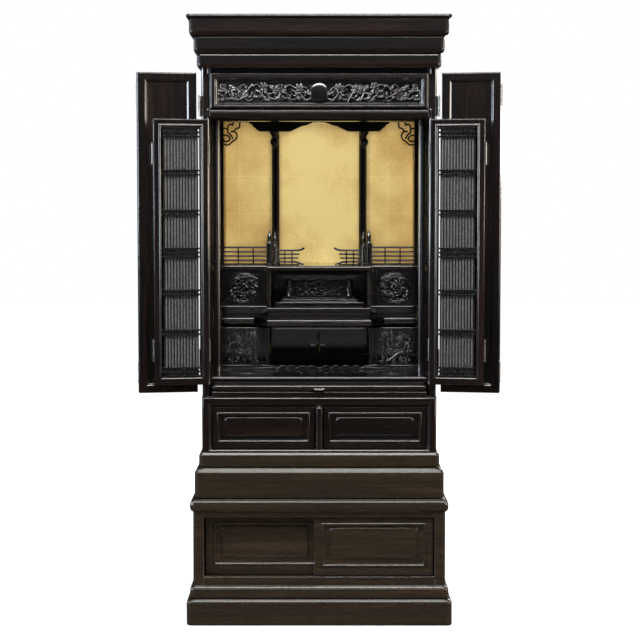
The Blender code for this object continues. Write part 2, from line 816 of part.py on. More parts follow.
def valance():
    """A cusped board across the front of the shrine, with two turned drops below it."""
    right = [
        (0, VALANCE_EDGE),
        (19, 9),
        (34, 2),
        (50, -1.5),
        (66, -9),
        (84, -16),
        (168, -16),
        (176, -11),
        (181, -4),
        (186, 2),
        (195, 5),
        (196, 9),
    ]
    points = [(0, VALANCE_EDGE)] + [(x * MM, HEAD_FOOT + z * MM) for x, z in right[1:]]
    wide = INNER_HALF - 0.2 * MM
    high = HEAD_TOP - GAP
    points += [(205 * MM, VALANCE_EDGE), (wide, VALANCE_EDGE), (wide, high)]
    outline = points + [(-x, z) for x, z in points[:0:-1]]
    board = prism(outline, VALANCE_Y, "y")
    parts = [board]
    for side in (-1, 1):
        drop = [
            (4 * MM, HEAD_FOOT - 14 * MM),
            (8 * MM, HEAD_FOOT - 19 * MM),
            (8.5 * MM, HEAD_FOOT - 25 * MM),
            (4.5 * MM, HEAD_FOOT - 30 * MM),
            (5 * MM, HEAD_FOOT - 33 * MM),
            (9.5 * MM, HEAD_FOOT - 38 * MM),
            (10.5 * MM, HEAD_FOOT - 45 * MM),
            (8.5 * MM, HEAD_FOOT - 52 * MM),
            (3.5 * MM, HEAD_FOOT - 57 * MM),
        ]
        parts.append(turned(drop, (side * (CORE_HALF - 16.5 * MM), 46 * MM, 0), 6))
    place("valance", fused(parts), CARVED)
    span = (VALANCE_Y[0] + 2 * MM, VALANCE_Y[1] - 2 * MM)
    wall = -INNER_HALF + 0.4 * MM
    cloud = [
        curl(wall + 40 * MM, HEAD_FOOT - 10.5 * MM, 16 * MM, 60, 330, 6 * MM, span, 8),
        curl(
            wall + 35 * MM, HEAD_FOOT - 35 * MM, 19 * MM, 85, -350, 6.5 * MM, (
                span[0] + 0.5 * MM, span[1] - 0.5 * MM
            ), 8
        ),
        band(
            [
                (wall + 60 * MM, HEAD_FOOT + 8.6 * MM),
                (wall + 56 * MM, HEAD_FOOT - 5 * MM),
                (wall + 43 * MM, HEAD_FOOT - 19 * MM),
            ],
            [7 * MM, 7 * MM, 7 * MM],
            (span[0] - 0.4 * MM, span[1] - 0.4 * MM),
        ),
        band(
            [
                (wall + 41 * MM, HEAD_FOOT - 17 * MM),
                (wall + 25 * MM, HEAD_FOOT - 13 * MM),
                (wall, HEAD_FOOT - 9 * MM),
            ],
            [7 * MM, 7 * MM, 9 * MM],
            (span[0] - 0.8 * MM, span[1] - 0.8 * MM),
        ),
        band(
            [
                (wall, HEAD_FOOT - 45 * MM),
                (wall + 19 * MM, HEAD_FOOT - 41 * MM),
                (wall + 29 * MM, HEAD_FOOT - 50 * MM),
            ],
            [9 * MM, 7 * MM, 6 * MM],
            (span[0] - 1 * MM, span[1] - 1 * MM),
        ),
    ]
    pair("bracket", fused(cloud), CARVED)


def pillars():
    low = TIER_TOP + GAP
    high = HEAD_TOP - GAP
    profile = [
        (11 * MM, high),
        (11 * MM, low + 14 * MM),
        (13.5 * MM, low + 11 * MM),
        (13.5 * MM, low),
    ]
    pair("pillar", turned(profile, (-CORE_HALF + 19.5 * MM, 72 * MM, 0), 10), CARVED)


# Railings round the top of the altar, with their newels
def railing():
    foot = TIER_TOP + GAP
    y = SIDE_PLANE + 8 * MM
    front = SIDE_PLANE - 55 * MM
    parts = []
    for x, height, depth in ((-121.5 * MM, 86 * MM, front), (-138.5 * MM, 91 * MM, y)):
        newel = [
            (9.5 * MM, foot),
            (9.5 * MM, foot + 50 * MM),
            (5.5 * MM, foot + 55 * MM),
            (7.5 * MM, foot + height - 26 * MM),
            (6.5 * MM, foot + height - 15 * MM),
            (0.8 * MM, foot + height),
        ]
        parts.append(turned(newel, (x, depth, 0), 6))
    rails = ((49 * MM, 3.5 * MM), (38 * MM, 3 * MM), (26 * MM, 3 * MM), (14 * MM, 4 * MM))
    end = -INNER_HALF + 0.5 * MM
    for rise, thick in rails:
        parts.append(box((end, -134 * MM), (y - 2 * MM, y + 2 * MM), (foot + rise - thick, foot + rise)))
    for x in (-226 * MM, -184 * MM):
        parts.append(box((x - 2 * MM, x + 2 * MM), (y - 2.6 * MM, y + 2.6 * MM), (foot, foot + 46 * MM)))
    for x0, x1, rise, thick in (
        (-119, -48, 42, 3.5),
        (-119, -56, 31, 3),
        (-119, -58, 21, 3),
        (-119, -60, 11, 4),
    ):
        parts.append(
            box(
                (x0 * MM, x1 * MM),
                (front - 2 * MM, front + 2 * MM),
                (foot + (rise - thick) * MM, foot + rise * MM),
            )
        )
    for x in (-94 * MM, -76 * MM):
        parts.append(
            box((x - 2 * MM, x + 2 * MM), (front - 2.6 * MM, front + 2.6 * MM), (foot, foot + 40 * MM))
        )
    hook = [(-50 * MM, foot + 41 * MM), (-46 * MM, foot + 43 * MM), (-41 * MM, foot + 48 * MM)]
    parts.append(band(hook, [4 * MM, 4 * MM, 2 * MM], (front - 1.6 * MM, front + 1.6 * MM)))
    scroll = [
        (-64 * MM, foot + 9 * MM),
        (-54 * MM, foot + 8 * MM),
        (-47 * MM, foot + 3 * MM),
        (-41 * MM, foot + 2 * MM),
    ]
    parts.append(band(scroll, [4 * MM, 4.5 * MM, 4.5 * MM, 3 * MM], (front - 1.8 * MM, front + 1.8 * MM)))
    for rise, thick in ((44 * MM, 3.5 * MM), (12 * MM, 4 * MM)):
        outline = [
            (-140 * MM, y - 2 * MM),
            (-123 * MM, front),
            (-120 * MM, front + 1 * MM),
            (-137 * MM, y - 1 * MM),
        ]
        parts.append(prism(outline, (foot + rise - thick - 0.6 * MM, foot + rise - 0.6 * MM), "z"))
    pair("railing", fused(parts), CARVED)


# The altar's tiers: boards whose middle stands forward of the sides
def stepped_outline(side_front, inset, back, wide, turn):
    """A board's outline in plan, drawn in by inset along its front, with a forward middle."""
    cut_in = min(inset, 0.5 * CORNER + 0.6 * turn)
    half = CORE_HALF
    left = [
        (-wide, back),
        (-wide, side_front + inset),
        (-half - turn + 0.3 * cut_in, side_front + inset),
        (-half - 0.55 * turn + 0.5 * cut_in, side_front - 0.18 * FORWARD + inset),
        (-half - 0.12 * turn + 0.8 * cut_in, side_front - 0.62 * FORWARD + inset),
        (-half + cut_in, side_front - FORWARD + inset),
    ]
    return left + [(-x, y) for x, y in reversed(left)]


def tier(name, side_front, profile, wide, turn):
    loops = []
    for inset, z in profile:
        loops.append(
            [(x, y, z) for x, y in stepped_outline(side_front, inset, GOLD_BACK - GAP, wide, turn)]
        )
    place(name, lofted(loops), EBONY)


def tiers():
    wide = INNER_HALF - GOLD_WALL - GAP
    top = [(4 * MM, TIER_FOOT), (1 * MM, TIER_FOOT + 3 * MM), (0, TIER_FOOT + 7 * MM)]
    top += [(1 * MM, TIER_TOP - 3 * MM), (4 * MM, TIER_TOP)]
    tier("tier_top", SIDE_PLANE - 7 * MM, top, wide, CORNER)
    waist = [
        (16 * MM, WAIST_FOOT),
        (16 * MM, WAIST_FOOT + 13 * MM),
        (7 * MM, WAIST_FOOT + 15 * MM),
        (5 * MM, WAIST_FOOT + 21 * MM),
        (0, WAIST_FOOT + 23 * MM),
        (1 * MM, WAIST_TOP - 1 * MM),
        (3 * MM, WAIST_TOP - GAP),
    ]
    tier("waist", SIDE_PLANE - 7 * MM, waist, wide, CORNER)
    shelf = [
        (22 * MM, SHELF_FOOT),
        (20 * MM, SHELF_FOOT + 5 * MM),
        (6 * MM, SHELF_FOOT + 8 * MM),
        (1 * MM, SHELF_FOOT + 13 * MM),
        (0, SHELF_FOOT + 19 * MM),
        (2 * MM, WAIST_FOOT - 4 * MM),
        (7 * MM, WAIST_FOOT - GAP),
    ]
    tier("mid_shelf", SIDE_PLANE - 8 * MM, shelf, wide, RETURN_WIDE)


# Carved panels at the sides of the altar: a round one above, a square one below
def roundel_carving(x, z, front):
    radius = 46 * MM
    parts = []
    rim = []
    for k in range(16):
        turn = 2 * math.pi * k / 16
        rim.append((math.cos(turn), math.sin(turn)))
    ring = []
    for r, y in (
        (radius, front + 2 * MM),
        (radius, front - 2 * MM),
        (radius - 3 * MM, front - 2 * MM),
        (radius - 3 * MM, front + 2 * MM),
    ):
        ring.append([(x + r * 1.02 * a, y, z + r * 0.86 * b) for a, b in rim])
    parts.append(lofted(ring, ring=True))
    high = (front - 5 * MM, front + 1 * MM)
    low = (front - 3.4 * MM, front + 1 * MM)
    parts.append(curl(x - 6 * MM, z + 3 * MM, 31 * MM, 200, -470, 8 * MM, high, 11))
    for k in range(6):
        turn = 60 * k + 20
        a = x + 20 * MM * math.cos(math.radians(turn))
        b = z + 17 * MM * math.sin(math.radians(turn))
        parts.append(leaf(a, b, 20 * MM, 9 * MM, turn + 40, low))
    return parts


def garden_carving(x, z, front):
    """A gnarled trunk with leaf sprays beside two upright canes."""
    high = (front - 5 * MM, front + 1 * MM)
    low = (front - 3.2 * MM, front + 1 * MM)
    trunk = [(-18, -40), (-20, -22), (-12, -8), (-18, 6), (-6, 18), (2, 30), (14, 38)]
    parts = [
        band([(x + a * MM, z + b * MM) for a, b in trunk], [k * MM for k in (9, 8, 7, 7, 6, 5, 3)], high)
    ]
    bough = [(-12, -8), (4, -14), (12, -26), (22, -38)]
    parts.append(
        band(
            [(x + a * MM, z + b * MM) for a, b in bough],
            [k * MM for k in (6, 5.5, 5, 4)],
            (high[0] + 0.6 * MM, high[1]),
        )
    )
    for a, lean in ((26, 3), (36, -2)):
        cane = [(x + (a + lean * t) * MM, z + (-42 + 82 * t) * MM) for t in (0, 0.5, 1)]
        parts.append(band(cane, [4.5 * MM] * 3, (high[0] + 1.2 * MM, high[1])))
    for k, (a, b, turn) in enumerate(
        (
            (-6, 18, 120),
            (-18, 6, 160),
            (-14, 0, 20),
            (2, 30, 60),
            (4, -14, 50),
            (30, 10, 40),
            (31, 26, 130),
            (28, -14, 150),
            (-20, -22, 200),
        )
    ):
        parts.append(leaf(x + a * MM, z + b * MM, 19 * MM, 9 * MM, turn, (low[0] - 0.1 * MM * k, low[1])))
    return parts


def carved_panels():
    inner = -CORE_HALF - 4 * MM
    outer = -(INNER_HALF - GAP)
    centre = -(CORE_HALF + INNER_HALF) / 2
    thick = 15 * MM
    front = SIDE_PLANE
    for name, low, high, middle in (
        ("round_panel", WAIST_TOP, TIER_FOOT - GAP, WAIST_TOP + 50.5 * MM),
        ("square_panel", FLOOR_TOP + GAP, SHELF_FOOT - GAP, FLOOR_TOP + 61.5 * MM),
    ):
        back = front + thick
        parts = [box((outer, inner), (front, back), (low, high))]
        pilaster = (inner - 6 * MM, inner + 1 * MM)
        parts.append(box(pilaster, (front - 5 * MM, back - 1 * MM), (low, high)))
        parts.append(
            box(
                (inner - 15 * MM, inner - 11 * MM),
                (front - 2.5 * MM, front + 1 * MM),
                (low + 1 * MM, high - 1 * MM),
            )
        )
        if name == "round_panel":
            parts += roundel_carving(centre + 4.2 * MM, middle, front)
        else:
            parts += garden_carving(centre + 2.2 * MM, middle, front)
        pair(name, fused(parts), CARVED)


# The middle of the altar: a niche above with a stepped pedestal, a small cupboard below
DOOR_HALF = CORE_HALF - 5 * MM
DOOR_Z = (FLOOR_TOP + 35.5 * MM, SHELF_FOOT - 5 * MM)


def core():
    wall = 8 * MM
    inside = CORE_HALF - 2 * MM
    front = SIDE_PLANE - 86 * MM
    low = WAIST_TOP
    high = TIER_FOOT - GAP
    back = GOLD_BACK - GAP
    end = SIDE_PLANE + 86 * MM
    niche = [
        (-inside, front),
        (-inside, end),
        (inside, end),
        (inside, front),
        (inside - wall, front),
        (inside - wall, end - wall),
        (-inside + wall, end - wall),
        (-inside + wall, front),
    ]
    place("niche_case", prism(niche, (low, high), "z"), EBONY)
    tread = [
        (0, 0.3),
        (0, 11.5),
        (16, 12),
        (16, 18.5),
        (21, 19),
        (21, 24.5),
        (29, 25.5),
        (29, 75.5),
        (20, 76.5),
        (20, 82.5),
        (7, 83.5),
        (7, 93.5),
    ]
    loops = []
    for inset, z in tread:
        z = low + z * MM
        half = 122 * MM - inset * MM
        depth = (SIDE_PLANE - 44 * MM + inset * MM * 0.8, SIDE_PLANE + 70 * MM)
        loops.append(
            [(half, depth[1], z), (-half, depth[1], z), (-half, depth[0], z), (half, depth[0], z)]
        )
    block = lofted(loops)
    parts = [block]
    face = SIDE_PLANE - 44 * MM + 29 * MM * 0.8
    for side in (-1, 1):
        for x, wide, out in ((92.5, 2.5, 3.0), (86.5, 3.5, 5.0)):
            x0, x1 = sorted((side * (x - wide) * MM, side * (x + 0.2) * MM))
            parts.append(box((x0, x1), (face - out * MM, face + 2 * MM), (low + 26 * MM, low + 75 * MM)))
        for k in range(3):
            turn = 25 + 50 * k if side > 0 else 155 - 50 * k
            parts.append(
                leaf(
                    side * 34 * MM,
                    low + 50.5 * MM,
                    34 * MM,
                    11 * MM,
                    turn - 65 * side,
                    (face - (3 + 0.2 * k) * MM, face + 1 * MM),
                )
            )
    oval = []
    for k in range(14):
        turn = 2 * math.pi * k / 14
        oval.append((math.cos(turn), math.sin(turn)))
    ring = []
    for r, y in (
        (1.0, face + 1 * MM), (1.0, face - 3.6 * MM), (0.84, face - 3.6 * MM), (0.84, face + 1 * MM)
    ):
        ring.append([(33 * MM * r * a, y, low + 50.5 * MM + 22 * MM * r * b) for a, b in oval])
    parts.append(lofted(ring, ring=True))
    place("pedestal", fused(parts), CARVED)

    low = FLOOR_TOP + GAP
    high = SHELF_FOOT - GAP
    front = CORE_PLANE
    parts = []
    for side in (-1, 1):
        x0, x1 = sorted((side * (CORE_HALF + 2.6 * MM), side * (CORE_HALF - 3 * MM)))
        parts.append(box((x0, x1), (SIDE_PLANE + 4 * MM, back), (low, high)))
    wide = CORE_HALF + 1 * MM
    parts.append(box((-wide, wide), (front, front + 14 * MM), (low, DOOR_Z[0] - 1 * MM)))
    parts.append(box((-wide, wide), (front, front + 14 * MM), (DOOR_Z[1] + 1 * MM, high)))
    parts.append(box((-wide, wide), (front - 3 * MM, front + 1 * MM), (low + 24 * MM, low + 29 * MM)))
    place("altar_core", fused(parts), EBONY)


def skirt():
    """A low board at the foot of the altar, plain at the sides and cusped across the middle."""
    low = FLOOR_TOP + GAP
    front = SIDE_PLANE - 14 * MM
    flat = low + 11 * MM
    edge = [
        (INNER_HALF - GAP, low),
        (INNER_HALF - GAP, flat),
        (138 * MM, flat),
        (126 * MM, flat - 2 * MM),
        (120 * MM, low + 3.5 * MM),
    ]
    for k in range(4):
        x = (112 - 27 * k) * MM
        edge += [
            (x, low + 5 * MM),
            (x - 5 * MM, low + 10 * MM),
            (x - 16 * MM, low + 10 * MM),
            (x - 21 * MM, low + 5 * MM),
        ]
    outline = edge + [(-x, z) for x, z in reversed(edge)]
    place("skirt", prism(outline, (front, front + 7 * MM), "y"), EBONY)


def altar_doors():
    thick = 12 * MM
    for side, name in ((-1, "left"), (1, "right")):
        hinge = pivot("altar_hinge_" + name, (side * DOOR_HALF, CORE_PLANE - 1 * MM, 0), 0)
        width = DOOR_HALF - 0.6 * MM
        first = 0.6 * MM
        loops = [
            (first, width, DOOR_Z[0], DOOR_Z[1], 0, 1 * MM + thick),
            (first, width, DOOR_Z[0], DOOR_Z[1], 0, 1 * MM + 1 * MM),
            (first + 1 * MM, width - 1 * MM, DOOR_Z[0] + 1 * MM, DOOR_Z[1] - 1 * MM, 0, 1 * MM),
        ]
        made = []
        for x0, x1, z0, z1, _, y in loops:
            made.append([(x1, y, z1), (x0, y, z1), (x0, y, z0), (x1, y, z0)])
        leaf_mesh = lofted(made)
        if side > 0:
            leaf_mesh = mirrored(leaf_mesh)
        place("altar_door_" + name, leaf_mesh, CARVED, parent=hinge)


# Folding doors: leaf a hangs on the cabinet, leaf b folds behind it
def outer_leaf(start, width, n0):
    """A framed leaf in its hinge's own axes: x along the leaf, -y out of its outer face."""
    x0 = start
    x1 = start + width
    outer = -(n0 + OUTER_THICK)
    inner = -n0
    z0, z1 = OUTER_Z
    frame = OUTER_FRAME
    loops = []
    for cut_in, y in (
        (frame + 4 * MM, inner - 5 * MM),
        (frame, inner - 1 * MM),
        (frame - 2 * MM, inner),
        (1.5 * MM, inner),
        (0, inner - 1.5 * MM),
        (0, outer + 1.5 * MM),
        (1.5 * MM, outer),
        (frame - 2 * MM, outer),
        (frame, outer + 1 * MM),
        (frame + 4 * MM, outer + 5 * MM),
    ):
        loops.append(
            [
                (x1 - cut_in, y, z1 - cut_in),
                (x0 + cut_in, y, z1 - cut_in),
                (x0 + cut_in, y, z0 + cut_in),
                (x1 - cut_in, y, z0 + cut_in),
            ]
        )
    return lofted(loops)


def bar_heights():
    """The middle of each cross bar of a lattice leaf, from the top down, in clusters evenly spaced."""
    low = LATTICE_Z[0] + LATTICE_STILE
    high = LATTICE_Z[1] - LATTICE_STILE
    edge = 14 * MM
    heights = []
    last = len(CLUSTER_BARS) - 1
    for k, count in enumerate(CLUSTER_BARS):
        middle = high - edge - (high - low - 2 * edge) * k / last
        for n in range(count):
            heights.append(middle + CLUSTER_PITCH * ((count - 1) / 2 - n))
    return heights


def lattice_leaf(start, width, n0):
    """A leaf with an open lattice: its frame, its cross bars and the close field of slats between them."""
    x0 = start
    x1 = start + width
    outer = -(n0 + LATTICE_THICK)
    inner = -n0
    z0, z1 = LATTICE_Z
    stile = LATTICE_STILE
    loops = []
    for cut_in, y in (
        (stile, inner - 4 * MM),
        (stile - 3 * MM, inner),
        (3 * MM, inner),
        (0, inner - 2 * MM),
        (0, outer + 2 * MM),
        (2 * MM, outer),
        (stile, outer),
    ):
        loops.append(
            [
                (x1 - cut_in, y, z1 - cut_in),
                (x0 + cut_in, y, z1 - cut_in),
                (x0 + cut_in, y, z0 + cut_in),
                (x1 - cut_in, y, z0 + cut_in),
            ]
        )
    parts = [lofted(loops, ring=True)]
    middle = (inner + outer) / 2
    foot = z0 + stile - 1 * MM
    head = z1 - stile + 1 * MM
    outline = [(middle - 2.5 * MM, head), (middle - 2.5 * MM, foot), (middle - 0.5 * MM, foot)]
    for z in reversed(bar_heights()):
        outline += [(middle - 0.5 * MM, z - BAR_HIGH / 2), (middle + 2.2 * MM, z - BAR_HIGH / 2)]
        outline += [(middle + 2.2 * MM, z + BAR_HIGH / 2), (middle - 0.5 * MM, z + BAR_HIGH / 2)]
    outline.append((middle - 0.5 * MM, head))
    parts.append(prism(outline, (x0 + stile - 1 * MM, x1 - stile + 1 * MM), "x"))
    return fused(parts)


def folding_doors(kind, axis, shape, thick, stand, start, wide_a, wide_b):
    x, y = axis
    fold_at = start + wide_a + LEAF_GAP / 2
    fold_out = stand + thick + FOLD_GAP / 2
    leaf_a = shape(start, wide_a, stand)
    leaf_b = shape(LEAF_GAP / 2, wide_b, -FOLD_GAP / 2 - thick)
    for side, name in ((-1, "left"), (1, "right")):
        hinge = pivot(f"{kind}_hinge_{name}", (side * x, POST_FRONT + y, 0), side * OUTER_OPEN)
        fold = pivot(f"{kind}_fold_{name}", (-side * fold_at, -fold_out, 0), math.pi, hinge)
        mesh_a = leaf_a.copy() if side < 0 else mirrored(leaf_a)
        mesh_b = leaf_b.copy() if side < 0 else mirrored(leaf_b)
        place(f"{kind}_{name}_a", mesh_a, EBONY, parent=hinge)
        place(f"{kind}_{name}_b", mesh_b, EBONY, parent=fold)


def doors():
    folding_doors(
        "outer", OUTER_AXIS, outer_leaf, OUTER_THICK, OUTER_STAND, OUTER_START, OUTER_WIDTH_A, OUTER_WIDTH_B
    )
    stand = LATTICE_AXIS[1] - LATTICE_THICK
    folding_doors(
        "lattice",
        LATTICE_AXIS,
        lattice_leaf,
        LATTICE_THICK,
        stand,
        LATTICE_START,
        LATTICE_WIDTH_A,
        LATTICE_WIDTH_B,
    )


def hinges():
    """Barrels of the outer doors' hinges, two a side, each with a plate on its post."""
    long = 55 * MM
    for number, z in (("upper", HEAD_FOOT + 33.5 * MM), ("lower", FLOOR_TOP + 48.5 * MM)):
        x = -OUTER_AXIS[0]
        y = POST_FRONT + OUTER_AXIS[1]
        barrel = turned([(2.6 * MM, z - long / 2), (2.6 * MM, z + long / 2)], (x, y, 0), 8)
        arm = box(
            (x + 0.5 * MM, x + 2.3 * MM),
            (y - 0.5 * MM, POST_FRONT + 26 * MM),
            (z - long / 2 + 1 * MM, z + long / 2 - 1 * MM),
        )
        flat = box(
            (x + 1 * MM, -POST_OUT - GAP),
            (POST_FRONT + 10 * MM, POST_FRONT + 25 * MM),
            (z - long / 2 + 2 * MM, z + long / 2 - 2 * MM),
        )
        pair("outer_hinge_" + number, fused([barrel, arm, flat]), STEEL)


plinth()
base_case()
base_doors()
steps()
drawer_case()
drawers()
upper()
head()
frieze()
cornice()
lining()
valance()
pillars()
railing()
tiers()
carved_panels()
core()
skirt()
altar_doors()
doors()
hinges()
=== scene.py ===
"""Looks of a household altar cabinet in ebony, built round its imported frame."""

import json
import math
import random

import bmesh
import bpy
from mathutils import Matrix, Vector

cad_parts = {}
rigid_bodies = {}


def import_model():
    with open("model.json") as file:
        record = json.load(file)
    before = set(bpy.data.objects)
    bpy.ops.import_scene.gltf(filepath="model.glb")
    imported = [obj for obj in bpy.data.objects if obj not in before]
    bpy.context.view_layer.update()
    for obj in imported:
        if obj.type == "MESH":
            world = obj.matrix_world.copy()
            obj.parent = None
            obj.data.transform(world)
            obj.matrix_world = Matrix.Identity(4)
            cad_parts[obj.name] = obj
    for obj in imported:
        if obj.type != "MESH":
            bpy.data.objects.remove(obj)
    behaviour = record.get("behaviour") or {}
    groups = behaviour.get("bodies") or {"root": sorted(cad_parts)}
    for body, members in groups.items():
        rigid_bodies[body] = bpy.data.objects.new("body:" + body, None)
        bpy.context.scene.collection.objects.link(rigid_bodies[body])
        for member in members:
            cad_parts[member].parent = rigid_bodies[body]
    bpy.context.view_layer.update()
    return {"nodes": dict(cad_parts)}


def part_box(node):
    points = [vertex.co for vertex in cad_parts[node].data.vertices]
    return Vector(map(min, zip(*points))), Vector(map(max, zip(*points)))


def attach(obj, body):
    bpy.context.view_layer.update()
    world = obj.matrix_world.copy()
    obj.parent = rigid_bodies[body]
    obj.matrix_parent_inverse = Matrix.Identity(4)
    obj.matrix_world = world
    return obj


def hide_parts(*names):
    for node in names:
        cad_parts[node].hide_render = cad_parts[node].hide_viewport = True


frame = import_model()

nodes = frame["nodes"]

# The view: a camera at chest height four metres in front, looking slightly down, over a pale
# floor. The floor fades into white with distance, and to glossy rays it shows a painted dark brown instead, a
# painted reflection that polished boards mirror as dark wood.
SENSOR = 36.0
FOCAL_PIXELS, PICTURE_PIXELS = 1530, 640
camera = bpy.data.objects.new("camera", bpy.data.cameras.new("camera"))
bpy.context.collection.objects.link(camera)
camera.data.sensor_width = SENSOR
camera.data.lens = SENSOR * FOCAL_PIXELS / PICTURE_PIXELS
camera.data.shift_x = 0.8 / PICTURE_PIXELS
camera.data.clip_end = 40
camera.location = (0.0, -4.282, 1.0604)
camera.rotation_euler = (math.radians(90 - 3.6), 0.0, 0.0)
bpy.context.scene.camera = camera
bpy.context.scene.view_settings.view_transform = "Standard"


def fill(tree, made, inputs):
    """Fills a node's inputs: an output is linked, and anything else is a value."""
    for socket, value in inputs.items():
        if isinstance(value, bpy.types.NodeSocket):
            tree.links.new(value, made.inputs[socket])
        else:
            made.inputs[socket].default_value = value
    return made


def add(tree, kind, inputs=None, **settings):
    """A new shader node with its settings and its inputs."""
    made = tree.nodes.new("ShaderNode" + kind)
    for name, value in settings.items():
        setattr(made, name, value)
    return fill(tree, made, inputs or {})


def new_finish(name):
    """A new material, its node tree and its shader."""
    made = bpy.data.materials.new(name)
    made.use_nodes = True
    return made, made.node_tree, made.node_tree.nodes["Principled BSDF"]


PALE, PAINTED_REFLECTION_BROWN = (0.80, 0.80, 0.80, 1), (0.055, 0.034, 0.020, 1)
floor_mesh = bpy.data.meshes.new("floor")
floor_mesh.from_pydata([(-12, -8, 0), (12, -8, 0), (12, 16, 0), (-12, 16, 0)], [], [(0, 1, 2, 3)])
floor = bpy.data.objects.new("floor", floor_mesh)
bpy.context.collection.objects.link(floor)
floor_paint, paint, floor_shader = new_finish("floor")
floor_at = add(paint, "TexCoord")
away = add(paint, "VectorMath", {0: floor_at.outputs["Object"]}, operation="LENGTH")
fade = add(paint, "MapRange", {
    "Value": away.outputs["Value"], "From Min": 0.4, "From Max": 2.4, "To Min": 0.40, "To Max": 1.0,
}, interpolation_type="SMOOTHSTEP")
ray = add(paint, "LightPath")
lit = add(paint, "Math", {0: fade.outputs["Result"], 1: ray.outputs["Is Camera Ray"]}, operation="MULTIPLY")
# Painted reflection: glossy rays see the floor in a dark brown, every other ray sees it pale.
colour_with_painted_reflection = add(paint, "Mix", {
    "Factor": ray.outputs["Is Glossy Ray"], "A": PALE, "B": PAINTED_REFLECTION_BROWN,
}, data_type="RGBA")
fill(paint, floor_shader, {
    "Base Color": colour_with_painted_reflection.outputs["Result"], "Roughness": 0.8, "Specular IOR Level": 0.1,
    "Emission Color": (1.0, 1.0, 1.0, 1), "Emission Strength": lit.outputs[0],
})
floor_mesh.materials.append(floor_paint)

# Soft light: a white backdrop over a dim room, a tall window on either side, lamps overhead and
# behind, and three lamps that each light one thing: the gilding, the altar's front, the reliefs.
world = bpy.data.worlds.new("studio")
bpy.context.scene.world = world
world.use_nodes = True
sky = world.node_tree
backdrop = fill(sky, sky.nodes["Background"], {"Color": (1.0, 1.0, 1.0, 1), "Strength": 1.0})
room = add(sky, "Background", {"Color": (0.90, 0.94, 1.0, 1), "Strength": 0.018})
seen = add(sky, "LightPath")
choice = add(sky, "MixShader", {
    "Fac": seen.outputs["Is Camera Ray"], 1: room.outputs["Background"], 2: backdrop.outputs["Background"],
})
fill(sky, sky.nodes["World Output"], {"Surface": choice.outputs["Shader"]})


def lamp(name, at, towards, size, power, colour, only=None):
    """A soft rectangular lamp; with only, it lights that collection alone."""
    light = bpy.data.lights.new(name, "AREA")
    light.shape = "RECTANGLE"
    light.size, light.size_y = size
    light.energy = power
    light.color = colour
    made = bpy.data.objects.new(name, light)
    made.location = at
    made.rotation_euler = (Vector(towards) - Vector(at)).to_track_quat("-Z", "Z").to_euler()
    bpy.context.collection.objects.link(made)
    if only:
        made.light_linking.receiver_collection = bpy.data.collections.new(only)


lamp("left_window", (-3.4, -1.1, 1.4), (0, -0.2, 0.95), (0.9, 3.0), 130, (0.80, 0.89, 1.0))
lamp("right_window", (3.4, -1.1, 1.4), (0, -0.2, 0.95), (0.9, 3.0), 105, (1.0, 0.90, 0.78))
lamp("overhead", (0, -1.9, 3.1), (0, -0.1, 0.8), (3.4, 1.0), 210, (1.0, 0.99, 0.97))
lamp("behind", (1.2, 3.6, 2.0), (0, 0.3, 0.8), (2.4, 1.2), 70, (0.95, 0.97, 1.0))
lamp("altar_glow", (0, -3.3, 1.13), (0, 0.225, 1.13), (0.5, 0.5), 44, (1.0, 0.95, 0.84), "gilt_only")
lamp("altar_front", (0, -2.9, 0.15), (0, 0.0, 0.80), (1.5, 0.18), 4, (0.94, 0.97, 1.0), "carved_only")
lamp("relief", (-1.1, -2.0, 2.1), (0, 0.0, 0.80), (0.5, 0.5), 60, (0.95, 0.98, 1.0), "relief_only")

# Ebony and rosewood: near black, with fine brown streaks along the grain, short dark pores
# and a hand-rubbed polish. Every board is cut separately, so each has its own place in the grain.
grain = bpy.data.node_groups.new("wood grain", "ShaderNodeTree")
for way, names, kind in (
    ("INPUT", ("Vector",), "Vector"), ("INPUT", ("Dark", "Streak"), "Color"),
    ("INPUT", ("Amount", "Gloss"), "Float"),
    ("OUTPUT", ("Color",), "Color"), ("OUTPUT", ("Roughness", "Height"), "Float"),
):
    for name in names:
        grain.interface.new_socket(name, in_out=way, socket_type="NodeSocket" + kind)
given = grain.nodes.new("NodeGroupInput").outputs
broad = add(grain, "TexNoise", {
    "Vector": given["Vector"], "Scale": 55, "Detail": 6, "Roughness": 0.62, "Distortion": 0.25,
})
fine = add(grain, "TexNoise", {"Vector": given["Vector"], "Scale": 420, "Detail": 3})
cloud = add(grain, "TexNoise", {"Vector": given["Vector"], "Scale": 11, "Detail": 2})
bands = add(grain, "MapRange", {"Value": broad.outputs["Fac"], "From Min": 0.44, "From Max": 0.72})
patch = add(grain, "MapRange", {
    "Value": cloud.outputs["Fac"], "From Min": 0.35, "From Max": 0.65, "To Min": 0.35,
})
weigh = add(grain, "Math", {0: bands.outputs["Result"], 1: patch.outputs["Result"]}, operation="MULTIPLY")
amount = add(grain, "Math", {0: weigh.outputs[0], 1: given["Amount"]}, operation="MULTIPLY")
tint = add(grain, "Mix", {
    "Factor": amount.outputs[0], "A": given["Dark"], "B": given["Streak"],
}, data_type="RGBA")
pores = add(grain, "MapRange", {
    "Value": fine.outputs["Fac"], "From Min": 0.30, "From Max": 0.46, "To Min": 0.55,
})
shade = add(grain, "Mix", {
    "Factor": 1.0, "A": tint.outputs["Result"], "B": pores.outputs["Result"],
}, data_type="RGBA", blend_type="MULTIPLY")
polish = add(grain, "Math", {0: fine.outputs["Fac"], 1: 0.12, 2: given["Gloss"]}, operation="MULTIPLY_ADD")
fill(grain, grain.nodes.new("NodeGroupOutput"), {
    "Color": shade.outputs["Result"], "Roughness": polish.outputs[0], "Height": pores.outputs["Result"],
})

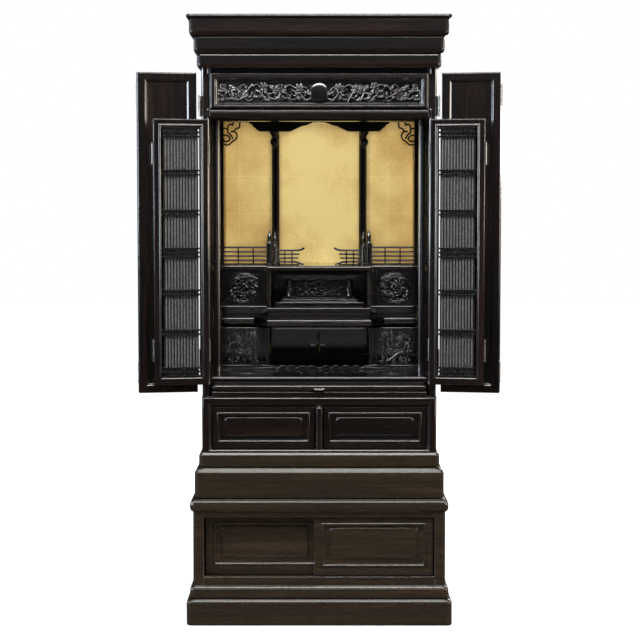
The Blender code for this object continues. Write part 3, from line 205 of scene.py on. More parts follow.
EBONY = {
    "Dark": (0.0022, 0.0018, 0.0019, 1), "Streak": (0.022, 0.008, 0.0045, 1),
    "Amount": 0.50, "Gloss": 0.19,
}
PLINTH_WOOD = {
    "Dark": (0.0115, 0.0080, 0.0046, 1), "Streak": (0.046, 0.026, 0.012, 1),
    "Amount": 0.60, "Gloss": 0.22,
}
BLACK = {
    "Dark": (0.0032, 0.0030, 0.0032, 1), "Streak": (0.009, 0.007, 0.007, 1),
    "Amount": 0.5, "Gloss": 0.16,
}
GRAIN_STRETCH = 0.045
cuts = random.Random(7)


def wood(name, along, kind=EBONY, coat=0.9, ease=0.0030, shine=0.5):
    """A polished wood with its grain along X or Z and its edges eased a little."""
    made, tree, shader = new_finish(name)
    place = add(tree, "TexCoord")
    turn = add(tree, "Mapping", {
        "Vector": place.outputs["Object"], "Location": [cuts.uniform(-9, 9) for _ in range(3)],
        "Scale": [GRAIN_STRETCH if axis == along else 1.0 for axis in "XYZ"],
    })
    figure = add(tree, "Group", {}, node_tree=grain)
    fill(tree, figure, {"Vector": turn.outputs["Vector"], **kind})
    eased = add(tree, "Bevel", {"Radius": ease}, samples=6)
    bump = add(tree, "Bump", {
        "Strength": 0.012, "Distance": 0.0004, "Height": figure.outputs["Height"],
        "Normal": eased.outputs["Normal"],
    })
    fill(tree, shader, {
        "Base Color": figure.outputs["Color"], "Roughness": figure.outputs["Roughness"],
        "Normal": bump.outputs["Normal"], "Coat Normal": eased.outputs["Normal"],
        "Coat Weight": coat, "Coat Roughness": 0.09, "Specular IOR Level": shine,
    })
    return made


def dress(node, finish):
    """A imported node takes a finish."""
    mesh = nodes[node].data
    if not mesh.materials:
        mesh.materials.append(finish)
    for k in range(len(mesh.materials)):
        mesh.materials[k] = finish


board_wood = {}


def cut_boards(names, along, kind=EBONY):
    """Each packed board takes a wood of its own, with its grain along X or Z."""
    for name in names:
        board_wood[name] = wood(name, along, kind)
        dress(name, board_wood[name])


# Base storey: a mitred plinth, a base board, a case with two sliding doors, a moulded top and two
# steps. All are solid boards of a browner wood, with the grain running across the front.
cut_boards((
    "plinth", "base_board", "base_top", "step_large", "step_small", "base_case",
    "base_door_left", "base_door_right",
), "X", PLINTH_WOOD)

# Drawer storey and the boards over it: a case with two drawers that have raised panels, the thin
# floor under the sliding board, that board, and the altar floor. Ebony, grain across the front.
cut_boards(("drawer_case", "drawer_left", "drawer_right", "sub_floor", "slide_board", "altar_floor"), "X")

# Upper storey: the case, its round-fronted posts, the jambs and pillars with upright grain, and
# the lintel, the head frame and the stepped cornice with the grain across. All joined boards.
cut_boards((
    "post_left", "post_right", "upper_case", "jamb_left", "jamb_right", "pillar_left", "pillar_right",
), "Z")
cut_boards(("lintel", "head_frame", "cornice_lower", "cornice_middle", "cornice_upper", "top_board"), "X")

# Outer doors: two leaves a side, each a framed panel of ebony with upright grain. They hang on
# steel butt hinges at the posts and fold outwards against each other.
cut_boards(("outer_left_a", "outer_left_b", "outer_right_a", "outer_right_b"), "Z")

# Altar: moulded boards, a niche and a small cupboard with two doors, all of ebony. The cusped
# boards, the pedestal and the panels that get carved are of the blackest wood.
cut_boards((
    "tier_top", "waist", "mid_shelf", "niche_case", "altar_core", "altar_door_left", "altar_door_right",
), "X")
cut_boards((
    "valance", "skirt", "round_panel_left", "round_panel_right",
    "square_panel_left", "square_panel_right", "pedestal",
), "X", BLACK)

# Gold lining of the back and sides: gold leaf laid in squares on fine cloth, so it shows the weave, faint seams
# where the leaves overlap, and cloudy patches where it was rubbed down.
# Its colour is also painted brighter round a spot in the middle and darker towards its edges, a painted pool of
# light.
LEAF_SQUARE = 0.109
PAINTED_GLOW_HEIGHT, PAINTED_GLOW_SQUASH = 1.16, 0.75


def ramp(tree, value, *stops):
    """A colour ramp through (position, colour) stops."""
    made = add(tree, "ValToRGB", {"Fac": value})
    elements = made.color_ramp.elements
    elements[0].position, elements[0].color = stops[0]
    elements[1].position, elements[1].color = stops[-1]
    for position, colour in stops[1:-1]:
        elements.new(position).color = colour
    return made.outputs["Color"]


gilt, gilding, gold = new_finish("gilt")
leaf_at = add(gilding, "TexCoord").outputs["Object"]
clouds = add(gilding, "TexNoise", {"Vector": leaf_at, "Scale": 9, "Detail": 3})
speckle = add(gilding, "TexNoise", {"Vector": leaf_at, "Scale": 330, "Detail": 2, "Roughness": 0.7})
upright = add(gilding, "Mapping", {
    "Vector": leaf_at, "Rotation": (math.radians(90), 0, 0), "Location": (0.016, 0, 0.012),
})
squares = add(gilding, "TexBrick", {
    "Vector": upright.outputs["Vector"], "Scale": 1, "Brick Width": LEAF_SQUARE, "Row Height": LEAF_SQUARE,
    "Mortar Size": 0.0011, "Mortar Smooth": 0.6,
    "Color1": (0.46, 0.46, 0.46, 1), "Color2": (0.54, 0.54, 0.54, 1), "Mortar": (0.80, 0.80, 0.80, 1),
}, offset=0)
# Painted pool of light: the leaf is painted lighter near the glow centre and darker away from it.
painted_glow_at = add(gilding, "Mapping", {
    "Vector": leaf_at, "Location": (-0.01, 0, -PAINTED_GLOW_HEIGHT * PAINTED_GLOW_SQUASH), "Scale": (1.0, 0, PAINTED_GLOW_SQUASH),
})
from_painted_glow = add(gilding, "VectorMath", {0: painted_glow_at.outputs["Vector"]}, operation="LENGTH")
glow = add(gilding, "MapRange", {
    "Value": from_painted_glow.outputs["Value"], "From Min": 0.0, "From Max": 0.27, "To Min": 0.36, "To Max": 0.11,
}, interpolation_type="SMOOTHSTEP")
tone = glow.outputs["Result"]
for layer, share in (
    (clouds.outputs["Fac"], 0.62), (speckle.outputs["Fac"], 0.42), (squares.outputs["Color"], 0.30),
):
    tone = add(gilding, "Math", {0: layer, 1: share, 2: tone}, operation="MULTIPLY_ADD").outputs[0]
gold_bump = add(gilding, "Bump", {"Strength": 0.6, "Distance": 0.0004, "Height": speckle.outputs["Fac"]})
fill(gilding, gold, {
    "Base Color": ramp(
        gilding, tone,
        (0.46, (0.30, 0.165, 0.035, 1)), (0.72, (0.70, 0.47, 0.15, 1)), (1.0, (0.96, 0.78, 0.33, 1)),
    ),
    "Normal": gold_bump.outputs["Normal"], "Roughness": 0.5, "Metallic": 0.30,
})
dress("gold_lining", gilt)

# The openwork over the altar: peonies on winding stems, the same to the left and right of a plain
# round boss, sawn out of one board and set in the head frame. Like every carving of the altar it
# is ebony, cut as tapering stems, domed leaves with a sunk rib and round buds, then polished.
def skin(work, loops, poles=()):
    """Faces from each loop of points to the next, and from the end loops to a pole each."""
    for near, far in zip(loops, loops[1:]):
        for step in range(len(near)):
            nxt = (step + 1) % len(near)
            work.faces.new((near[step], near[nxt], far[nxt], far[step]))
    for loop, at in zip((loops[0], loops[-1]), poles):
        pole = work.verts.new(at)
        for step in range(len(loop)):
            work.faces.new((loop[step], loop[(step + 1) % len(loop)], pole))


def stem(work, path, radii, y, flat=0.8, ring=8, fine=4):
    """A tapering rod through (x, z) points, rounded off at both ends."""
    points = []
    sizes = []
    last = len(path) - 1
    for k in range(last):
        a, b, c, d = [Vector(path[min(max(k + shift, 0), last)]) for shift in (-1, 0, 1, 2)]
        for step in range(fine):
            t = step / fine
            bent = 2 * b + (c - a) * t + (2 * a - 5 * b + 4 * c - d) * t * t + (3 * b - a - 3 * c + d) * t ** 3
            points.append(bent / 2)
            sizes.append(radii[k] + (radii[k + 1] - radii[k]) * t)
    points.append(Vector(path[-1]))
    sizes.append(radii[-1])
    loops = []
    for k, point in enumerate(points):
        run = points[min(k + 1, len(points) - 1)] - points[max(k - 1, 0)]
        side = Vector((-run.y, run.x)).normalized()
        loop = []
        for step in range(ring):
            turn = 2 * math.pi * step / ring
            out = side * math.cos(turn) * sizes[k]
            depth = y + math.sin(turn) * sizes[k] * flat
            loop.append(work.verts.new((point.x + out.x, depth, point.y + out.y)))
        loops.append(loop)
    tips = [
        points[end] + (points[end] - points[inner]).normalized() * sizes[end] * 0.7
        for end, inner in ((0, 1), (-1, -2))
    ]
    skin(work, loops, [(tip.x, y, tip.y) for tip in tips])


def blade(work, base, turn, long, wide, y, rise=0.003, bend=0.0, lobes=0, steps=6):
    """A domed leaf with a sunk rib; turn and bend are in degrees, y is the back of the leaf."""
    point = Vector(base)
    loops = []
    for k in range(1, steps):
        t = k / steps
        heading = math.radians(turn + bend * t)
        run = Vector((math.cos(heading), math.sin(heading)))
        side = Vector((-run.y, run.x))
        point = point + run * long / steps
        half = wide / 2 * math.sin(math.pi * t ** 0.8) ** 0.8
        if lobes:
            half *= 1 + 0.28 * math.sin(2 * math.pi * lobes * t)
        high = rise * math.sin(math.pi * t) ** 0.5
        tip = high * (0.5 if bend else 0.2) * t
        loop = []
        for out, lift in ((-1, 0.15), (-0.55, 0.95), (0, 0.55), (0.55, 0.95), (1, 0.15), (0, -0.25)):
            spot = point + side * out * half
            loop.append(work.verts.new((spot.x, y - high * lift - tip, spot.y)))
        loops.append(loop)
    point = point + run * long / steps
    skin(work, loops, [(end[0], y - rise * 0.25, end[1]) for end in (base, point)])


def bud(work, x, z, y, radius):
    """A round bud, a little flattened."""
    place = Matrix.Translation((x, y, z)) @ Matrix.Diagonal((1, 0.8, 1, 1))
    bmesh.ops.create_icosphere(work, subdivisions=2, radius=radius, matrix=place)


def bloom(work, x, z, y, radius, turn=0):
    """A full flower: two rings of cupped petals round a heart of buds."""
    for petals, size, back, lift in ((7, 1.0, 0.0, 0.003), (5, 0.66, 0.0022, 0.0032)):
        for k in range(petals):
            way = turn + 360 * k / petals + 20 * back
            inner = radius * 0.12
            root = (x + inner * math.cos(math.radians(way)), z + inner * math.sin(math.radians(way)))
            blade(work, root, way, radius * size * 0.95, radius * size * 0.85, y - back, lift)
    bud(work, x, z, y - 0.0052, radius * 0.2)


def drawn(points, x=0, z=0, side=1):
    """Points of a pattern drawn in millimetres, set at (x, z); side -1 turns them over."""
    return [(x + side * a / 1000, z + b / 1000) for a, b in points]


def oval(x, z, wide, high, angles):
    """Points round an oval, at angles in degrees."""
    return [(x + wide * math.cos(math.radians(a)), z + high * math.sin(math.radians(a))) for a in angles]


def curl(work, marks, x, z, y, thick, taper, berry, berry_out, flat=0.8, side=1):
    """Stems that wind in to a bud, each drawn as (x, z, radius, start, sweep) in mm and degrees."""
    for a, b, radius, start, sweep in marks:
        path = []
        for k in range(8):
            turn = math.radians((start if side > 0 else 180 - start) + side * sweep * k / 7)
            out = radius / 1000 * (1 - 0.7 * k / 7)
            path.append((x + side * a / 1000 + out * math.cos(turn), z + b / 1000 + out * math.sin(turn)))
        stem(work, path, [thick - taper * k for k in range(8)], y, flat)
        bud(work, *path[-1], y - berry_out, berry)


def block(work, x, y, z, ease=0.0):
    """A board between two values along each axis, its edges eased."""
    made = bmesh.ops.create_cube(work, size=1.0)["verts"]
    middle = Vector((x[0] + x[1], y[0] + y[1], z[0] + z[1])) / 2
    for v in made:
        v.co = Vector((v.co.x * (x[1] - x[0]), v.co.y * (y[1] - y[0]), v.co.z * (z[1] - z[0]))) + middle
    if ease:
        edges = list({e for v in made for e in v.link_edges})
        bmesh.ops.bevel(work, geom=edges, offset=ease, segments=2, affect="EDGES", profile=0.5)


def turned(work, profile, at, sides=24, axis="z"):
    """A turned shape: (radius, height) points spun round an axis, closed at both ends."""
    loops = []
    for radius, height in profile:
        loop = []
        for k in range(sides):
            turn = 2 * math.pi * k / sides
            a, b = radius * math.cos(turn), radius * math.sin(turn)
            offset = {"z": (a, b, height), "y": (a, -height, b), "x": (height, a, b)}[axis]
            loop.append(work.verts.new(Vector(at) + Vector(offset)))
        loops.append(loop)
    skin(work, loops, [sum((v.co for v in loop), Vector()) / sides for loop in (loops[0], loops[-1])])


def mitred(work, section, x0, x1, z0, z1):
    """A moulding run round a rectangle: its section is (inset, y) points in turn."""
    loops = []
    for inset, y in section:
        left, right, low, high = x0 + inset, x1 - inset, z0 + inset, z1 - inset
        corners = ((right, high), (left, high), (left, low), (right, low))
        loops.append([work.verts.new((a, y, b)) for a, b in corners])
    skin(work, loops + loops[:1])


def piece(name, work, finish, body, smooth=40, replaces=(), mirror=False):
    """The finished mesh becomes a piece that rides on a body."""
    if mirror:
        for v in work.verts:
            v.co.x = -v.co.x
    bmesh.ops.remove_doubles(work, verts=work.verts, dist=1e-6)
    bmesh.ops.recalc_face_normals(work, faces=work.faces)
    mesh = bpy.data.meshes.new(name)
    work.to_mesh(mesh)
    work.free()
    mesh.polygons.foreach_set("use_smooth", [True] * len(mesh.polygons))
    mesh.set_sharp_from_angle(angle=math.radians(smooth))
    mesh.materials.append(finish)
    made = bpy.data.objects.new(name, mesh)
    bpy.context.collection.objects.link(made)
    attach(made, body)
    if replaces:
        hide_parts(*replaces)
    return made


carved_black = wood("carved_black", "X", BLACK, 1.0, 0.0005)
frieze_low, frieze_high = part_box("frieze")
head_mid = (frieze_low[2] + frieze_high[2]) / 2
frieze_half = frieze_high[0]
FRIEZE_BACK, FRIEZE_EDGE, CARVED_AT, RIM = -0.236, -0.2425, -0.2415, 0.0024
VINE = (
    (18, -14), (40, -20), (58, 4), (78, 19), (98, 4), (112, -18), (134, -10), (150, 14), (172, 20), (192, 2),
    (206, -18), (228, -16), (244, 6), (262, 12),
)
CURLS = (
    (44, 4, 15, 250, -330), (70, -10, 15, 100, 330), (88, -6, 14, 60, -320), (104, 12, 13, 250, 320),
    (124, 10, 13, 290, -330), (140, -14, 13, 90, 320), (162, -2, 16, 110, 350), (182, -14, 13, 70, -320),
    (200, 10, 14, 240, -330), (218, 0, 15, 280, 340), (236, -10, 13, 100, -330), (250, 14, 12, 250, 320),
    (256, -12, 11, 60, -300),
)
TWIGS = (
    (32, -24, 56, 6), (107, -24, 122, 18), (126, -20, 146, 16), (131, -25, 160, 6), (180, -15, 224, 16),
    (75, -26, 98, 22),
)
LEAVES = 64
frieze = bmesh.new()
rim = (
    (0, FRIEZE_BACK), (0, FRIEZE_EDGE), (RIM / 2, FRIEZE_EDGE - 0.001), (RIM, FRIEZE_EDGE),
    (RIM, FRIEZE_BACK),
)
mitred(frieze, rim, -frieze_half, frieze_half, frieze_low[2], frieze_high[2])
turned(frieze, [(0.024, 0), (0.024, 0.006)], (0, FRIEZE_BACK, head_mid), 32, "y")
block(
    frieze, (0.002 - frieze_half, frieze_half - 0.002), (FRIEZE_BACK - 0.0002, FRIEZE_BACK + 0.0008),
    (frieze_low[2] + 0.002, frieze_high[2] - 0.002),
)
for side in (-1, 1):
    stem(frieze, drawn(VINE, 0, head_mid, side), [0.0022] * len(VINE), CARVED_AT + 0.002)
    curl(frieze, CURLS, 0, head_mid, CARVED_AT + 0.001, 0.0019, 0.0001, 0.0021, 0.001, side=side)
    for x, z, radius in ((52, 12, 12), (110, 4, 10), (146, 15, 12), (208, -4, 9)):
        bloom(frieze, side * x / 1000, head_mid + z / 1000, CARVED_AT, radius / 1000, 30 * side)
    for x0, z0, x1, z1 in TWIGS:
        path = drawn(((x0, z0), ((x0 + x1 + 5) / 2, (z0 + z1) / 2), (x1, z1)), 0, head_mid, side)
        stem(frieze, path, [0.0021, 0.0019, 0.0012], CARVED_AT)
sprays = random.Random(12)
leaves = []
for k in range(LEAVES):
    x = 0.03 + (frieze_half - 0.042) * k / (LEAVES - 1)
    z = sprays.uniform(-0.021, 0.021)
    turn = sprays.uniform(0, 360)
    long = sprays.uniform(0.010, 0.016)
    leaves.append((x, z, turn, long, sprays.uniform(-70, 70), sprays.uniform(0, 0.0012)))
for side in (-1, 1):
    for x, z, turn, long, bend, back in leaves:
        tip = z + long * math.sin(math.radians(turn))
        turn = -turn if abs(tip) > 0.026 else turn
        way = turn if side > 0 else 180 - turn
        root = (side * x, head_mid + z)
        blade(frieze, root, way, long, long * 0.42, CARVED_AT + 0.001 - back, 0.0022, side * bend, 2)
piece("frieze_openwork", frieze, carved_black, "cabinet", 60, ["frieze"])

boss = bmesh.new()
dome = [(0.0254, 0.0), (0.0256, 0.0025), (0.0252, 0.0045)] + oval(0, 0.0045, 0.0252, 0.0055, range(15, 90, 12))
turned(boss, dome, (0, frieze_low[1] - 0.0003, head_mid), 48, "y")
boss_black = wood("boss_black", "Z", BLACK, 0.6, 0.0007)
piece("boss_dome", boss, boss_black, "cabinet", 60, ["head_boss"])


# Half-round beads, planed in the boards and mitred at the corners: a wide one round the drawer
# storey, a turned one on the post between the drawers, small ones round the raised panels.
def half_round(inset, radius, front, rise, every):
    """The section of a bead: (inset, y) points from its outer edge to its inner one."""
    turns = [math.radians(a) for a in range(0, 181, every)]
    return [(inset + radius - radius * math.cos(turn), front - rise * math.sin(turn)) for turn in turns]


case_low, case_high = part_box("drawer_case")
case_front = case_low[1]
beads = bmesh.new()
mitred(
    beads, half_round(0.0007, 0.0098, case_front + 0.0012, 0.0050, 15),
    case_low[0] + 0.0004, case_high[0] - 0.0004, case_low[2] - 0.016, case_high[2] - 0.0012,
)
post_bead = [
    (0.0010, case_low[2] + 0.0008), (0.0098, case_low[2] + 0.0110),
    (0.0098, case_high[2] - 0.0300), (0.0010, case_high[2] - 0.0200),
]
turned(beads, post_bead, (0, case_front + 0.0048, 0), 32)
piece("drawer_case_beads", beads, wood("case_beads", "X"), "cabinet")

for front_name, side_in, low_in, top_in, radius in (
    ("base_door_left", 0.0270, 0.0300, 0.0210, 0.0034), ("base_door_right", 0.0270, 0.0300, 0.0210, 0.0034),
    ("drawer_left", 0.0190, 0.0230, 0.0210, 0.0030), ("drawer_right", 0.0190, 0.0230, 0.0210, 0.0030),
):
    low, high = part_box(front_name)
    inset = 0.0012
    edge = 2 * radius + inset
    section = half_round(inset, radius, low[1] + 0.0010, 0.9 * radius, 20)
    section += [(edge, low[1] + 0.0074), (inset, low[1] + 0.0074)]
    work = bmesh.new()
    mitred(
        work, section, low[0] + side_in - edge, high[0] - side_in + edge,
        low[2] + low_in - edge, high[2] - top_in + edge,
    )
    piece(front_name + "_bead", work, board_wood[front_name], front_name)

# Lattice leaves: a mitred moulded frame holding upright slats and crossing bars in clusters,
# with grey silk gauze stretched on the far side of the slats. Two leaves a side, folded together.
repeat = bpy.data.node_groups.new("bars on points", "GeometryNodeTree")
for way, name, kind in (
    ("INPUT", "Geometry", "Geometry"), ("INPUT", "Size", "Vector"), ("INPUT", "Finish", "Material"),
    ("OUTPUT", "Geometry", "Geometry"),
):
    repeat.interface.new_socket(name, in_out=way, socket_type="NodeSocket" + kind)
wanted = repeat.nodes.new("NodeGroupInput")
points, bar, placed, real, finished = [
    repeat.nodes.new("GeometryNode" + kind)
    for kind in ("MeshToPoints", "MeshCube", "InstanceOnPoints", "RealizeInstances", "SetMaterial")
]
made = repeat.nodes.new("NodeGroupOutput")
for source, output, target, socket in (
    (wanted, "Geometry", points, "Mesh"), (wanted, "Size", bar, "Size"), (points, "Points", placed, "Points"),
    (bar, "Mesh", placed, "Instance"), (placed, "Instances", real, "Geometry"),
    (real, "Geometry", finished, "Geometry"),
    (wanted, "Finish", finished, "Material"), (finished, "Geometry", made, "Geometry"),
):
    repeat.links.new(source.outputs[output], target.inputs[socket])


def repeated(points, size, finish):
    """Blocks of one size centred on the points, made into a plain mesh."""
    seeds = bpy.data.meshes.new("seeds")
    seeds.from_pydata(points, [], [])
    carrier = bpy.data.objects.new("carrier", seeds)
    bpy.context.collection.objects.link(carrier)
    change = carrier.modifiers.new("repeat", "NODES")
    change.node_group = repeat
    for item in repeat.interface.items_tree:
        if item.in_out == "INPUT" and item.name == "Size":
            change[item.identifier] = size
        if item.in_out == "INPUT" and item.name == "Finish":
            change[item.identifier] = finish
    bpy.context.view_layer.update()
    mesh = bpy.data.meshes.new_from_object(carrier.evaluated_get(bpy.context.evaluated_depsgraph_get()))
    bpy.data.objects.remove(carrier, do_unlink=True)
    bpy.data.meshes.remove(seeds)
    return mesh


LATTICE_LOW, LATTICE_HIGH = 0.638, 1.332
LEAF_STILE = 0.020
LATTICE_WIDE = {"a": (0.0031, 0.1461), "b": (0.0005, 0.1415)}
LATTICE_FACE = {"a": (0.008, 0.021), "b": (0.0005, 0.0135)}
SLATS, SLAT_STRIP, SLAT_SIZE = 12, 0.0066, (0.003, 0.0036)
BAR_SIZE, BAR_GAP, CLUSTER_EDGE = (0.0050, 0.004), 0.011, 0.014
CLUSTERS = (3, 2, 2, 3, 2, 2, 3)
FRAME_INNER = (
    (0.0200, 0.0040), (0.0192, 0.0015), (0.0174, 0.0003), (0.0152, 0.0006), (0.0142, 0.0022), (0.0122, 0.0020),
    (0.0060, 0.0006), (0.0030, 0.0), (0.0010, 0.0008), (0.0, 0.0030),
)
FRAME_OUTER = (
    (0.0, 0.0022), (0.0008, 0.0007), (0.0025, 0.0), (0.0150, 0.0), (0.0192, 0.0012), (0.0200, 0.0030),
)
bar_heights = []
span = LATTICE_HIGH - LATTICE_LOW - 2 * (LEAF_STILE + CLUSTER_EDGE)
for k, count in enumerate(CLUSTERS):
    centre = LATTICE_HIGH - LEAF_STILE - CLUSTER_EDGE - span * k / (len(CLUSTERS) - 1)
    bar_heights += [centre + BAR_GAP * ((count - 1) / 2 - n) for n in range(count)]

LATTICE_PIN = (-0.2891, -0.258, 0)
open_turn = Matrix.Rotation(math.radians(-170), 4, "Z")
fold_back = Matrix.Rotation(math.pi, 4, "Z")
leaf_place = {"a": Matrix.Translation(LATTICE_PIN) @ open_turn}
leaf_place["b"] = leaf_place["a"] @ Matrix.Translation((0.1466, 0.0075, 0)) @ fold_back

gauze_cloth, weaving, gauze_shader = new_finish("gauze")
gauze_at = add(weaving, "TexCoord").outputs["Object"]
warp, weft = [
    add(weaving, "TexWave", {
        "Vector": gauze_at, "Scale": 260, "Distortion": 1.2, "Detail": 1.0,
    }, bands_direction=axis).outputs["Fac"]
    for axis in ("X", "Z")
]
threads = add(weaving, "Math", {0: warp, 1: weft}, operation="MAXIMUM")
slub = add(weaving, "TexNoise", {"Vector": gauze_at, "Scale": 240, "Detail": 4})
uneven = add(weaving, "Math", {0: threads.outputs[0], 1: slub.outputs["Fac"]}, operation="MULTIPLY")
gauze_bump = add(weaving, "Bump", {"Strength": 0.4, "Distance": 0.0003, "Height": threads.outputs[0]})
fill(weaving, gauze_shader, {
    "Base Color": ramp(
        weaving, uneven.outputs[0], (0.15, (0.030, 0.030, 0.031, 1)), (0.62, (0.25, 0.25, 0.245, 1)),
    ),
    "Normal": gauze_bump.outputs["Normal"], "Roughness": 0.85, "Sheen Weight": 0.3, "Specular IOR Level": 0.2,
})

lattice_wood = {name: wood("lattice_" + name, "Z") for name in ("left", "right")}
slat_wood = wood("slats", "Z", BLACK, 0.08, 0.0004)
for name, mirror in (("left", False), ("right", True)):
    for part in ("a", "b"):
        x0, x1 = LATTICE_WIDE[part]
        outer, inner = LATTICE_FACE[part]
        work = bmesh.new()
        section = [(inset, inner - back) for inset, back in FRAME_INNER]
        section += [(inset, outer + back) for inset, back in FRAME_OUTER]
        mitred(work, section, x0, x1, LATTICE_LOW, LATTICE_HIGH)
        middle = (outer + inner) / 2
        first = x0 + LEAF_STILE + SLAT_STRIP + 0.0015
        last = x1 - LEAF_STILE - SLAT_STRIP - 0.0015
        mid_z = (LATTICE_LOW + LATTICE_HIGH) / 2
        tall = LATTICE_HIGH - LATTICE_LOW - 2 * LEAF_STILE + 0.002
        slat_points = [(first + (last - first) * k / (SLATS - 1), middle + 0.0002, mid_z) for k in range(SLATS)]
        bar_points = [((x0 + x1) / 2, middle + 0.0012, z) for z in bar_heights]
        for mesh in (
            repeated(slat_points, (*SLAT_SIZE, tall), slat_wood),
            repeated(bar_points, (x1 - x0 - 2 * LEAF_STILE + 0.002, *BAR_SIZE), slat_wood),
        ):
            before = len(work.faces)
            work.from_mesh(mesh)
            work.faces.ensure_lookup_table()
            for face in work.faces[before:]:
                face.material_index = 1
            bpy.data.meshes.remove(mesh)
        bmesh.ops.transform(work, matrix=leaf_place[part], verts=work.verts)
        body, node = f"lattice_{name}", f"lattice_{name}_{part}"
        leaf = piece(node + "_leaf", work, lattice_wood[name], body, 35, [node], mirror)
        leaf.data.materials.append(slat_wood)

        cloth = bmesh.new()
        wide = last - first + 0.003
        high = tall - 0.002
        grid = []
        for row in range(25):
            z = LATTICE_LOW + LEAF_STILE + high * row / 24
            grid.append([cloth.verts.new((first - 0.0015 + wide * k / 6, outer + 0.0032, z)) for k in range(7)])
        for near, far in zip(grid, grid[1:]):
            for k in range(6):
                cloth.faces.new((near[k], near[k + 1], far[k + 1], far[k]))
        bmesh.ops.transform(cloth, matrix=leaf_place[part], verts=cloth.verts)
        gauze = piece(f"gauze_{name}_{part}", cloth, gauze_cloth, body, mirror=mirror)

# Outer leaves and lattice leaves fold on steel butt hinges let into their edges, and the
# lattice leaves hang on the same kind at the jambs. Barrels have five knuckles, plates two screws.
steel, steel_tree, metal = new_finish("dark_steel")
steel_at = add(steel_tree, "TexCoord").outputs["Object"]
tarnish = add(steel_tree, "TexNoise", {"Vector": steel_at, "Scale": 320, "Detail": 4}).outputs["Fac"]
rub = add(steel_tree, "MapRange", {"Value": tarnish, "To Min": 0.22, "To Max": 0.45})
steel_bump = add(steel_tree, "Bump", {"Strength": 0.15, "Distance": 0.0002, "Height": tarnish})
fill(steel_tree, metal, {
    "Base Color": ramp(steel_tree, tarnish, (0.35, (0.10, 0.095, 0.09, 1)), (0.65, (0.42, 0.41, 0.40, 1))),
    "Roughness": rub.outputs["Result"], "Normal": steel_bump.outputs["Normal"], "Metallic": 1.0,
})
for level in ("upper", "lower"):
    for side in ("left", "right"):
        dress(f"outer_hinge_{level}_{side}", steel)

HINGE_LONG = 0.055
KNUCKLES = 5
SCREW = ((0.0018, 0), (0.0020, 0.0002), (0.0014, 0.0005))


def hinge(name, body, place, height, pin, radius, fifths, plates, screw_at=None):
    """Half a hinge: plates as (x, y, shorter) boards, knuckles round the pin, two screws."""
    work = bmesh.new()
    low, high = height - HINGE_LONG / 2, height + HINGE_LONG / 2
    for x, y, shorter in plates:
        block(work, x, y, (low + shorter, high - shorter))
    long = HINGE_LONG / KNUCKLES
    for k in fifths:
        foot, head = low + long * k, low + long * (k + 1)
        barrel = ((0.9, foot + 0.0001), (1, foot + 0.0004), (1, head - 0.0004), (0.9, head - 0.0001))
        turned(work, [(radius * share, z) for share, z in barrel], (*pin, 0), 16)
    if 0 in fifths:
        for end, way in ((low, -1), (high, 1)):
            tip = ((0.7, 0), (0.85, 0.0008), (0.5, 0.0018))
            turned(work, [(radius * share, end + way * out) for share, out in tip], (*pin, 0), 12)
    if screw_at:
        for rise in (-0.018, 0.018):
            turned(work, SCREW, (*screw_at, height + rise), 12, "x")
    bmesh.ops.transform(work, matrix=place, verts=work.verts)
    piece(name, work, steel, body, 35, mirror="right" in name)


hung = Matrix.Translation((-0.3145, -0.253, 0)) @ open_turn
folded = hung @ Matrix.Translation((0.160, -0.0335, 0)) @ fold_back
for side in ("left", "right"):
    for level, height in (("upper", 1.398), ("lower", 0.669)):
        hinge(
            f"fold_hinge_{side}_{level}_hung", f"outer_{side}_hung", hung, height,
            (0.160, -0.0335), 0.0020, (0, 2, 4),
            [((0.1595, 0.15985), (-0.0325, -0.0150), 0)], (0.15985, -0.0235),
        )
        hinge(
            f"fold_hinge_{side}_{level}_folded", f"outer_{side}_folded", folded, height,
            (0.0, 0.0), 0.0020, (1, 3),
            [((0.00015, 0.0005), (0.0010, 0.0185), 0)],
        )
    for level, height in (("upper", 1.2425), ("lower", 0.7285)):
        hinge(
            f"lattice_fold_hinge_{side}_{level}", f"lattice_{side}", leaf_place["a"], height,
            (0.1475, 0.0077), 0.0022, range(KNUCKLES),
            [((0.1461, 0.14645), (0.0088, 0.0200), 0), ((0.1461, 0.14645), (-0.0050, 0.0066), 0)],
            (0.14645, 0.0150),
        )
        hinge(
            f"lattice_hinge_{side}_{level}", f"lattice_{side}", leaf_place["a"], height,
            (0.0, 0.0), 0.0024, (1, 3),
            [
                ((0.0008, 0.0030), (0.0010, 0.0030), 0.012), ((0.0024, 0.0150), (0.0074, 0.0079), 0),
                ((0.0024, 0.0030), (0.0010, 0.0079), 0.012),
            ],
        )
        hinge(
            f"jamb_hinge_{side}_{level}", "cabinet", Matrix(), height, LATTICE_PIN[:2], 0.0024, (0, 2, 4),
            [((-0.2905, -0.2892), (-0.2560, -0.2500), 0)],
        )

# Railings and cloud brackets of the altar: round rails and square posts along the tier and on its
# wings, turned newels where they meet, and scrolls of round stems in the two upper corners. All
# of blackened ebony; the rails are tenoned together and the scrolls glued in.
rail_black = wood("rail_black", "X", BLACK, 0.05, 0.0007, 0.12)
newel_black = wood("newel_black", "Z", BLACK, 0.7, 0.0007)
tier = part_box("tier_top")[1][2]
RAIL_Y, WING_Y = -0.002, -0.065
RAILS = [
    (((-287, rise), (-210, rise), (-134, rise)), (thick, thick, thick))
    for rise, thick in ((48.5, 2.5), (36.5, 2.3), (24.5, 2.3), (12, 2.7))
]
WING_RAILS = (
    (((-117, 41), (-75, 41), (-58, 41.5), (-48, 44), (-42, 47.5)), (2.5, 2.5, 2.6, 2.8, 3.0)),
    (((-117, 30.5), (-90, 30.5), (-59, 31), (-56, 31.5)), (2.2, 2.2, 2.2, 2.2)),
    (((-117, 20), (-90, 20), (-64, 20.3), (-59, 20.6)), (2.2, 2.2, 2.2, 2.2)),
    (((-117, 10), (-80, 10), (-66, 9.5), (-56, 6), (-44, 2.2)), (2.4, 2.4, 2.6, 2.8, 2.2)),
)
